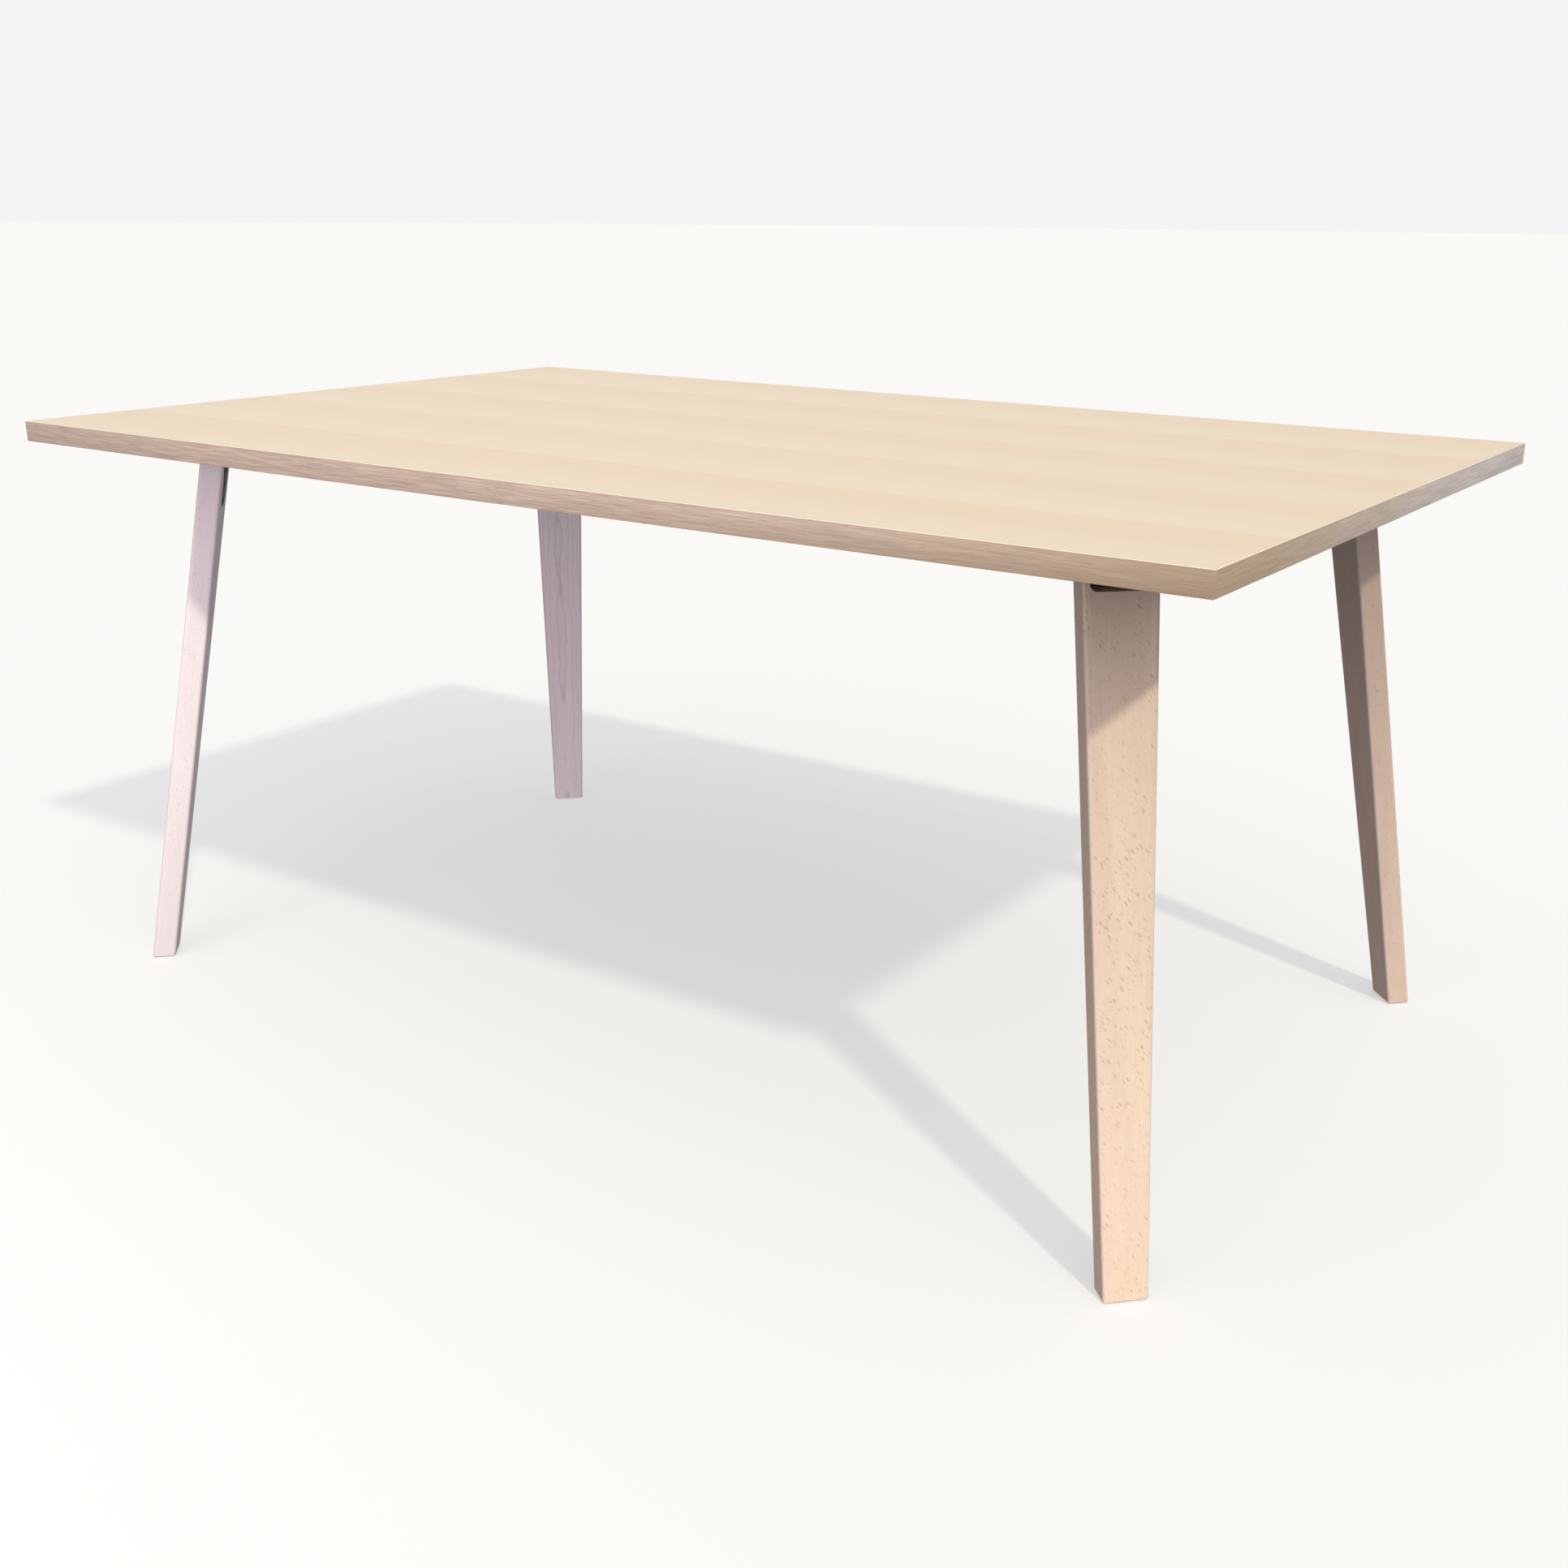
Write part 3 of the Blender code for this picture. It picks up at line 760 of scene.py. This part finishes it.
def bumped(tree, shader, height, depth, strength=1.0):
    """Raise the surface by a height that is at most a depth in metres."""
    feeds = {"Height": height, "Distance": depth, "Strength": strength}
    tree.links.new(add(tree, "ShaderNodeBump", feeds).outputs["Normal"], shader.inputs["Normal"])


# --- materials ----------------------------------------------------------------------


def long_edges(tree):
    """Mask of the leg's rounded long edges, where the surface faces between two sides; it places the painted
    highlight.
    """
    normal = add(tree, "ShaderNodeTexCoord", {}).outputs["Normal"]
    across, wide, _ = add(tree, "ShaderNodeSeparateXYZ", {0: normal}).outputs
    between = calculate(tree, "ABSOLUTE", calculate(tree, "MULTIPLY", across, wide))
    return spread(tree, between, 0.12, 0.45)


def beech_look(name, light, dark, painted_light_at_head, seed, pith, ring_width, ring_strength, fleck_share):
    """Solid beech with growth rings round a pith, ray flecks and fine pores. Its colour is scaled along the
    leg to a factor at the head, which paints shade under the top (light where the factor is above 1), and
    its long edges carry a painted pale highlight."""
    made, tree, shader = new_look(name)
    plain = here(tree, turn=(0, LEAN, 0))
    place = add(tree, "ShaderNodeVectorMath", {0: plain, 1: seed}, operation="ADD").outputs[0]
    across, wide, along = add(tree, "ShaderNodeSeparateXYZ", {0: plain}).outputs

    wave = calculate(tree, "MULTIPLY", noise(tree, place, (0.05, 0.05, 0.11), 3, 0.5), 1.2 * ring_width)
    tilt = calculate(tree, "MULTIPLY", along, -0.0016)
    from_x = calculate(tree, "ADD", calculate(tree, "SUBTRACT", across, pith[0]), tilt)
    sway = calculate(tree, "MULTIPLY", noise(tree, place, (0.2, 0.2, 0.13), 3, 0.55), 0.022)
    from_y = calculate(tree, "SUBTRACT", calculate(tree, "ADD", wide, sway), pith[1] + 0.011)
    reach = calculate(tree, "SQRT", calculate(tree, "ADD",
                      calculate(tree, "POWER", from_x, 2.0), calculate(tree, "POWER", from_y, 2.0)))
    ring = calculate(tree, "DIVIDE", calculate(tree, "ADD", reach, wave), ring_width)
    ring = calculate(tree, "FRACT", ring)
    stops = [(0.0, 0.3), (0.04, 0.0), (0.60, 0.05), (0.90, 0.22), (0.955, 1.0), (1.0, 0.3)]
    late_wood = ramped(tree, ring, stops)

    slanted = turned_place(tree, wavered(tree, place, 0.006, 0.0012), (radians(56), 0, 0))
    big = marks(tree, slanted, (0.0020, 0.0090, 0.0031), fleck_share, 0.42)
    small = marks(tree, slanted, (0.0012, 0.0040, 0.0016), fleck_share, 0.40)
    flecks = calculate(tree, "MAXIMUM", big, calculate(tree, "MULTIPLY", small, 0.45))
    stands = spread(tree, noise(tree, place, (0.05, 0.028, 0.06), 2, 0.5), 0.40, 0.56, 0.45, 1.0)
    flecks = calculate(tree, "MULTIPLY", flecks, stands)

    blotch = noise(tree, place, (0.03, 0.03, 0.16), 4, 0.6)
    fibre = noise(tree, place, (0.0011, 0.0011, 0.028), 3, 0.6)
    tone = weighed(tree, (spread(tree, blotch, 0.3, 0.7), 0.55), (spread(tree, fibre, 0.3, 0.7), 0.35))
    body = blended(tree, tone, light, dark)
    ring_colour = shifted_colour(dark, (0.80, 0.76, 0.72))
    body = blended(tree, calculate(tree, "MULTIPLY", late_wood, ring_strength), body, ring_colour)
    fleck_colour = shifted_colour(dark, (0.74, 0.66, 0.56))
    colour = blended(tree, calculate(tree, "MULTIPLY", flecks, 0.90), body, fleck_colour)
    # Painted highlight: a pale tone along the rounded long edges.
    colour = blended(tree, calculate(tree, "MULTIPLY", long_edges(tree), 0.45), colour, PAINTED_EDGE_HIGHLIGHT)
    # Painted shade towards the head, under the top: the colour is scaled to a factor there, and a factor
    # above 1 paints light.
    colour = scaled(tree, colour, spread(tree, along, -UNDERSIDE, 0.0, 1.0, painted_light_at_head))

    rough = spread(tree, fibre, 0.2, 0.8, 0.40, 0.56)
    rough = calculate(tree, "SUBTRACT", rough, calculate(tree, "MULTIPLY", flecks, 0.08))
    feed(tree, shader, base_color=colour, roughness=rough)
    settle(shader, specular_ior_level=0.4, coat_weight=0.10, coat_roughness=0.35)
    pores = noise(tree, place, (0.0004, 0.0004, 0.006), 2, 0.5)
    height = calculate(tree, "SUBTRACT", pores, calculate(tree, "MULTIPLY", flecks, 0.6))
    bumped(tree, shader, height, 0.00008, 0.5)
    return made


def veneer_look(name, light, dark, leaf_contrast, seed):
    """Flat veneer in leaves laid side by side, each lightest along its near edge."""
    made, tree, shader = new_look(name)
    place = here(tree, shift=seed)
    plain = here(tree)
    deep = add(tree, "ShaderNodeSeparateXYZ", {0: plain}).outputs[1]

    count = calculate(tree, "SUBTRACT", deep, FIRST_JOINT - 4 * LEAF_WIDTH)
    count = calculate(tree, "DIVIDE", count, LEAF_WIDTH)
    phase = calculate(tree, "FRACT", count)
    leaf = calculate(tree, "FLOOR", count)
    fall = ramped(tree, phase, [(0.0, 0.0), (0.10, 0.0), (0.35, 0.28), (0.65, 0.92), (1.0, 1.0)])
    lot = add(tree, "ShaderNodeTexWhiteNoise", {"W": leaf}, noise_dimensions="1D").outputs["Value"]
    jump = calculate(tree, "MULTIPLY", lot, 3.0)
    shifted = add(tree, "ShaderNodeCombineXYZ", {0: jump, 2: leaf}).outputs[0]
    own = add(tree, "ShaderNodeVectorMath", {0: place, 1: shifted}, operation="ADD").outputs[0]

    streak = noise(tree, own, (0.45, 0.011, 1.0), 5, 0.6, 0.3)
    fibre = noise(tree, own, (0.030, 0.0009, 1.0), 3, 0.6)
    dashes = marks(tree, own, (0.0042, 0.0010, 1.0), 0.30, 0.36)
    specks = marks(tree, own, (0.016, 0.0060, 1.0), 0.10, 0.16)

    streaked = spread(tree, streak, 0.3, 0.7)
    fibrous = spread(tree, fibre, 0.3, 0.7)
    tone = weighed(tree, (fall, leaf_contrast), (streaked, 0.20), (fibrous, 0.16), (lot, 0.08))
    body = blended(tree, tone, light, dark)
    dash_colour = shifted_colour(dark, (0.86, 0.80, 0.74))
    marked = calculate(tree, "MAXIMUM", calculate(tree, "MULTIPLY", dashes, 0.35),
                       calculate(tree, "MULTIPLY", specks, 0.6))
    colour = blended(tree, marked, body, dash_colour)

    rough = spread(tree, fibre, 0.2, 0.8, 0.50, 0.62)
    feed(tree, shader, base_color=colour, roughness=rough)
    settle(shader, specular_ior_level=0.22)
    height = calculate(tree, "SUBTRACT", fibre, calculate(tree, "MULTIPLY", dashes, 0.5))
    bumped(tree, shader, height, 0.00005, 0.5)
    return made


def band_look(name, along_x, sheen_tones, shade_tones, sheen_end, shade_end):
    """Edge banding with fine wavy streaks along its length. Its (light, dark) pair of tones drifts between
    two places along it, from a paler, greyer pair that paints a sheen to a darker pair that paints shade,
    and its rounded top edge carries a painted highlight."""
    made, tree, shader = new_look(name)
    place = here(tree, turn=(0, 0, 0 if along_x else -pi / 2))
    split = add(tree, "ShaderNodeSeparateXYZ", {0: place})
    sway = noise(tree, place, (0.18, 1.0, 0.05), 2, 0.5)
    lifted = calculate(tree, "ADD", split.outputs[2], calculate(tree, "MULTIPLY", sway, 0.003))
    swayed = add(tree, "ShaderNodeCombineXYZ", {0: split.outputs[0], 2: lifted}).outputs[0]

    streak = noise(tree, swayed, (0.100, 1.0, 0.0034), 3, 0.6)
    thread = noise(tree, swayed, (0.050, 1.0, 0.0012), 2, 0.5)
    patch = noise(tree, place, (0.22, 1.0, 0.02), 3, 0.5)
    dashes = marks(tree, swayed, (0.016, 1.0, 0.0016), 0.25, 0.34)

    streaked = spread(tree, streak, 0.38, 0.62)
    threaded = spread(tree, thread, 0.56, 0.46)
    patchy = spread(tree, patch, 0.3, 0.7)
    tone = weighed(tree, (streaked, 0.32), (threaded, 0.53), (patchy, 0.15))
    # Painted sheen and shade: the band's tones drift along it from the sheen pair to the shade pair.
    drift = calculate(tree, "ADD", split.outputs[0], calculate(tree, "MULTIPLY", patch, 0.16))
    toward_shade = spread(tree, drift, sheen_end, shade_end)
    light = blended(tree, toward_shade, sheen_tones[0], shade_tones[0])
    dark = blended(tree, toward_shade, sheen_tones[1], shade_tones[1])
    body = blended(tree, tone, light, dark)
    upper_rim = spread(tree, split.outputs[2], CAD_HIGH.z - 0.0024, CAD_HIGH.z - 0.0010)
    marked = calculate(tree, "MAXIMUM", calculate(tree, "MULTIPLY", dashes, 0.5),
                       calculate(tree, "MULTIPLY", upper_rim, 0.35))
    dash_colour = shifted_colour(shade_tones[1], (0.84, 0.80, 0.76))
    colour = blended(tree, marked, body, dash_colour)
    # Painted highlight: a pale tone along the rounded top edge of the band.
    arris = spread(tree, split.outputs[2], CAD_HIGH.z - 0.0008, CAD_HIGH.z - 0.0003)
    colour = blended(tree, calculate(tree, "MULTIPLY", arris, 0.85), colour, BAND_EDGE_HIGHLIGHT)
    rough = spread(tree, streak, 0.36, 0.64, 0.30, 0.46)
    feed(tree, shader, base_color=colour, roughness=rough)
    settle(shader, specular_ior_level=0.5, coat_weight=0.15, coat_roughness=0.30)
    bumped(tree, shader, calculate(tree, "SUBTRACT", thread, dashes), 0.00008, 0.6)
    return made


def particleboard_look(name):
    """Pressed chips of mixed tones."""
    made, tree, shader = new_look(name)
    place = here(tree)
    feeds = {"Vector": sized(tree, place, (0.004, 0.0025, 0.0012)), "Scale": 1.0}
    chips = add(tree, "ShaderNodeTexVoronoi", feeds, feature="F1").outputs["Color"]
    lot = add(tree, "ShaderNodeSeparateColor", {"Color": chips}).outputs[0]
    dust = noise(tree, place, (0.0008, 0.0008, 0.0008), 3, 0.6)
    tone = weighed(tree, (lot, 0.7), (dust, 0.3))
    colour = blended(tree, tone, (0.62, 0.47, 0.30), (0.36, 0.25, 0.14))
    feed(tree, shader, base_color=colour, roughness=spread(tree, dust, 0.2, 0.8, 0.80, 0.95))
    bumped(tree, shader, tone, 0.0002)
    return made


def powder_coat_look(name):
    """Black powder coat with a fine orange-peel surface."""
    made, tree, shader = new_look(name)
    place = here(tree)
    peel = noise(tree, place, (0.0011, 0.0011, 0.0011), 3, 0.6)
    cloud = noise(tree, place, (0.02, 0.02, 0.02), 3, 0.5)
    tone = weighed(tree, (peel, 0.6), (cloud, 0.4))
    colour = blended(tree, spread(tree, tone, 0.3, 0.7), (0.007, 0.006, 0.007), (0.014, 0.012, 0.013))
    feed(tree, shader, base_color=colour, roughness=spread(tree, tone, 0.3, 0.7, 0.50, 0.64))
    settle(shader, specular_ior_level=0.25)
    bumped(tree, shader, peel, 0.00006, 0.6)
    return made


def plated_look(name, light, dark, rough_low, rough_high):
    """Plated or blackened steel with a fine mottle and faint lines from turning."""
    made, tree, shader = new_look(name)
    place = here(tree)
    mottle = noise(tree, place, (0.0014, 0.0014, 0.0014), 4, 0.6)
    lines = noise(tree, place, (0.006, 0.006, 0.00025), 2, 0.5)
    tone = weighed(tree, (mottle, 0.6), (lines, 0.4))
    colour = blended(tree, spread(tree, tone, 0.3, 0.7), light, dark)
    feed(tree, shader, base_color=colour, roughness=spread(tree, tone, 0.3, 0.7, rough_low, rough_high))
    settle(shader, metallic=1.0)
    bumped(tree, shader, tone, 0.00003, 0.5)
    return made


def nylon_look(name):
    """Brown nylon with a fine moulded grain."""
    made, tree, shader = new_look(name)
    place = here(tree)
    grain = noise(tree, place, (0.0006, 0.0006, 0.0006), 3, 0.6)
    cloud = noise(tree, place, (0.006, 0.006, 0.006), 3, 0.5)
    colour = blended(tree, spread(tree, cloud, 0.3, 0.7), (0.115, 0.095, 0.078), (0.085, 0.070, 0.056))
    feed(tree, shader, base_color=colour, roughness=spread(tree, grain, 0.2, 0.8, 0.38, 0.55))
    settle(shader, specular_ior_level=0.5)
    bumped(tree, shader, grain, 0.00004, 0.6)
    return made


# --- building -----------------------------------------------------------------------


def build_top():
    """Veneers that meet the edge bands in tight seams, round a hidden core."""
    top = veneer_look("beech_veneer", (0.78, 0.68, 0.542), (0.752, 0.615, 0.467), 0.58, (0, 0, 0))
    under = veneer_look("backing_veneer", (0.70, 0.55, 0.39), (0.62, 0.46, 0.30), 0.25, (0.7, 0.3, 0))
    inner_low = CAD_LOW + Vector((BAND_THICKNESS + SEAM, BAND_THICKNESS + SEAM, 0))
    inner_high = CAD_HIGH - Vector((BAND_THICKNESS + SEAM, BAND_THICKNESS + SEAM, 0))
    levels = {"upper": (CORE_HIGH.z + SEAM, CAD_HIGH.z), "lower": (UNDERSIDE, CORE_LOW.z - SEAM)}
    upper, lower = (
        eased_block(name, (*inner_low.xy, low), (*inner_high.xy, high), SEAM, 1)
        for name, (low, high) in levels.items()
    )
    piece("veneered_face", upper, top, "top_veneer", ["top_veneer"])
    piece("veneered_underside", lower, under, "underside_veneer", ["underside_veneer"])
    repaint(["top_core"], particleboard_look("particleboard"))


def build_bands():
    """Edge bands with rounded arrises. The long ones cover the short ones' ends."""
    # Tone pairs of the bands: a paler, greyer pair that paints a sheen, and a darker pair that paints shade
    # towards the right end of the long bands and the front end of the short ones.
    sheen_tones_long = ((0.72, 0.575, 0.47), (0.48, 0.37, 0.295))
    sheen_tones_short = ((0.565, 0.465, 0.40), (0.38, 0.305, 0.255))
    shade_tones = ((0.48, 0.36, 0.237), (0.39, 0.287, 0.185))
    looks = {
        True: band_look("banding_long", True, sheen_tones_long, shade_tones, 0.15, 0.85),
        False: band_look("banding_short", False, sheen_tones_short, shade_tones, 0.25, -0.35),
    }
    x, y = CAD_HIGH.x, CAD_HIGH.y
    inner_x, inner_y = x - BAND_THICKNESS, y - BAND_THICKNESS
    boxes = {
        "front": ((-x, -y), (x, -inner_y)),
        "back": ((-x, inner_y), (x, y)),
        "left": ((-x, SEAM - inner_y), (-inner_x, inner_y - SEAM)),
        "right": ((inner_x, SEAM - inner_y), (x, inner_y - SEAM)),
    }
    for side, (low, high) in boxes.items():
        ease = min(ARRIS_RADIUS, BAND_THICKNESS * 0.45)
        mesh = eased_block("band_" + side, (*low, UNDERSIDE), (*high, CAD_HIGH.z), ease)
        look = looks[side in ("front", "back")]
        piece("banding_" + side, mesh, look, "edge_band", ["edge_band_" + side])


def leg_looks():
    """A beech for each leg. Each has the grain of a board of its own, and their tones differ to paint light
    and shade:
    the back left and front left legs are paler and cooler, painted light and sheen, and the back right leg
    is darker, painted shade.
    """
    return {
        "front_right": beech_look(
            "beech_front_right",
            light=(0.83, 0.655, 0.50), dark=(0.72, 0.545, 0.40), painted_light_at_head=0.74, seed=(0.0, 0.0, 0.0),
            pith=(0.02, -0.16), ring_width=0.0042, ring_strength=0.12, fleck_share=0.36,
        ),
        # Darker than the others: painted shade.
        "back_right": beech_look(
            "beech_back_right",
            light=(0.75, 0.58, 0.46), dark=(0.63, 0.475, 0.365), painted_light_at_head=0.60, seed=(0.3, 0.1, 0.4),
            pith=(-0.14, 0.02), ring_width=0.0042, ring_strength=0.20, fleck_share=0.14,
        ),
        # Paler and cooler than the others: painted light and sheen.
        "back_left": beech_look(
            "beech_back_left",
            light=(0.96, 0.85, 0.825), dark=(0.85, 0.73, 0.705), painted_light_at_head=0.92, seed=(0.1, 0.5, 0.9),
            pith=(-0.0295, 0.003), ring_width=0.0065, ring_strength=0.78, fleck_share=0.06,
        ),
        # Cooler, lavender tone: painted sheen.
        "front_left": beech_look(
            "beech_front_left",
            light=(0.79, 0.715, 0.725), dark=(0.71, 0.63, 0.635), painted_light_at_head=1.18, seed=(0.7, 0.2, 0.1),
            pith=(0.03, -0.15), ring_width=0.0042, ring_strength=0.14, fleck_share=0.14,
        ),
    }


def build_corners():
    """Leg, bracket, glide and fasteners at each corner."""
    steel = powder_coat_look("black_powder_coat")
    zinc = plated_look("zinc_plate", (0.66, 0.64, 0.58), (0.50, 0.49, 0.45), 0.26, 0.42)
    oxide = plated_look("black_oxide", (0.045, 0.044, 0.046), (0.020, 0.020, 0.022), 0.30, 0.44)
    nylon = nylon_look("brown_nylon")
    beech = leg_looks()
    leg, glide, screw, bolt = leg_mesh(), glide_mesh(), wood_screw_mesh(), bolt_mesh()
    for corner in CORNERS:
        place = corner_place(corner)
        screw_places = [wood_screw_place(corner, number, place) for number in range(1, 6)]
        piece("beech_leg_" + corner, leg, beech[corner], "beech_leg", ["leg_" + corner], place)
        piece("steel_bracket_" + corner, bracket_mesh(screw_places), steel, "black_steel",
              ["bracket_" + corner], place)
        piece("nylon_glide_" + corner, glide, nylon, "nylon_glide", ["foot_glide_" + corner], place)
        for number, spot in enumerate(screw_places, start=1):
            end = f"_{corner}_{number}"
            piece("cross_head_screw" + end, screw, zinc, "zinc_screw", ["wood_screw" + end], place @ spot)
        for number, spot in enumerate(bolt_places(), start=1):
            end = f"_{corner}_{number}"
            piece("socket_bolt" + end, bolt, oxide, "black_bolt", ["leg_bolt" + end], place @ spot)
            repaint(["leg_insert" + end], zinc)


# --- stage --------------------------------------------------------------------------


def build_floor():
    """A wide, plain pale floor, which takes shadows and throws no light back. It is clear
    from below, so that the underside of the table can be seen."""
    bm = bmesh.new()
    bmesh.ops.create_circle(bm, cap_ends=True, radius=FLOOR_RADIUS, segments=96)
    floor = bpy.data.objects.new("floor", mesh_from(bm, "floor"))
    bpy.context.scene.collection.objects.link(floor)
    look, tree, shader = new_look("pale_floor")
    settle(shader, base_color=(0.42, 0.42, 0.42, 1.0), roughness=0.85, specular_ior_level=0.0)
    settle(shader, emission_color=(1.0, 1.0, 1.0, 1.0), emission_strength=FLOOR_GLOW)
    from_below = add(tree, "ShaderNodeNewGeometry", {}).outputs["Backfacing"]
    clear = add(tree, "ShaderNodeBsdfTransparent", {}).outputs[0]
    mixed = add(tree, "ShaderNodeMixShader", {0: from_below, 1: shader.outputs[0], 2: clear}).outputs[0]
    tree.links.new(mixed, tree.nodes["Material Output"].inputs["Surface"])
    floor.data.materials.append(look)
    floor.visible_diffuse = False
    floor.visible_glossy = False


def build_world():
    """Broad glows that light the table. Seen directly, the world is a plain backdrop."""
    world = bpy.data.worlds.new("studio")
    bpy.context.scene.world = world
    world.use_nodes = True
    tree = world.node_tree
    outwards = add(tree, "ShaderNodeTexCoord", {}).outputs["Generated"]
    light = AMBIENT
    for direction, sharpness, colour in GLOWS:
        feeds = {0: outwards, 1: Vector(direction).normalized()}
        facing = add(tree, "ShaderNodeVectorMath", feeds, operation="DOT_PRODUCT").outputs["Value"]
        glow = calculate(tree, "POWER", calculate(tree, "MAXIMUM", facing), sharpness)
        feeds = {0: glow, 1: colour, 2: light}
        light = add(tree, "ShaderNodeVectorMath", feeds, operation="MULTIPLY_ADD").outputs[0]
    seen = add(tree, "ShaderNodeLightPath", {}).outputs["Is Camera Ray"]
    tree.links.new(blended(tree, seen, light, BACKDROP), tree.nodes["Background"].inputs["Color"])


def build_lights():
    """A warm key from the front right and a large, weak fill from the front left."""
    key = bpy.data.lights.new("key", "SUN")
    key.energy = KEY_STRENGTH
    key.angle = KEY_SPREAD
    key.color = KEY_COLOUR
    lamp = bpy.data.objects.new("key", key)
    lamp.rotation_mode = "QUATERNION"
    lamp.rotation_quaternion = Vector(KEY_DIRECTION).to_track_quat("Z", "Y")
    bpy.context.scene.collection.objects.link(lamp)

    fill = bpy.data.lights.new("fill", "AREA")
    fill.shape = "RECTANGLE"
    fill.size, fill.size_y = FILL_SIZE
    fill.energy = FILL_POWER
    fill.color = FILL_COLOUR
    panel = bpy.data.objects.new("fill", fill)
    panel.location = FILL_PLACE
    panel.rotation_mode = "QUATERNION"
    panel.rotation_quaternion = (panel.location - Vector(FILL_TARGET)).to_track_quat("Z", "Y")
    bpy.context.scene.collection.objects.link(panel)


def build_camera():
    """The camera, at the height and heading of a person who looks down at the table."""
    camera = bpy.data.cameras.new("camera")
    camera.sensor_width = 36
    camera.lens = CAMERA_LENS
    camera.shift_x, camera.shift_y = CAMERA_SHIFT
    camera.clip_start, camera.clip_end = 0.05, 200
    holder = bpy.data.objects.new("camera", camera)
    turn = Matrix.Rotation(CAMERA_HEADING, 4, "Z") @ Matrix.Rotation(pi / 2 + CAMERA_TILT, 4, "X")
    turn = turn @ Matrix.Rotation(CAMERA_ROLL, 4, "Z")
    holder.matrix_world = Matrix.Translation(CAMERA_PLACE) @ turn
    bpy.context.scene.collection.objects.link(holder)
    bpy.context.scene.camera = holder


bpy.context.scene.view_settings.view_transform = "Standard"
build_camera()
build_top()
build_bands()
build_corners()
build_floor()
build_world()
build_lights()
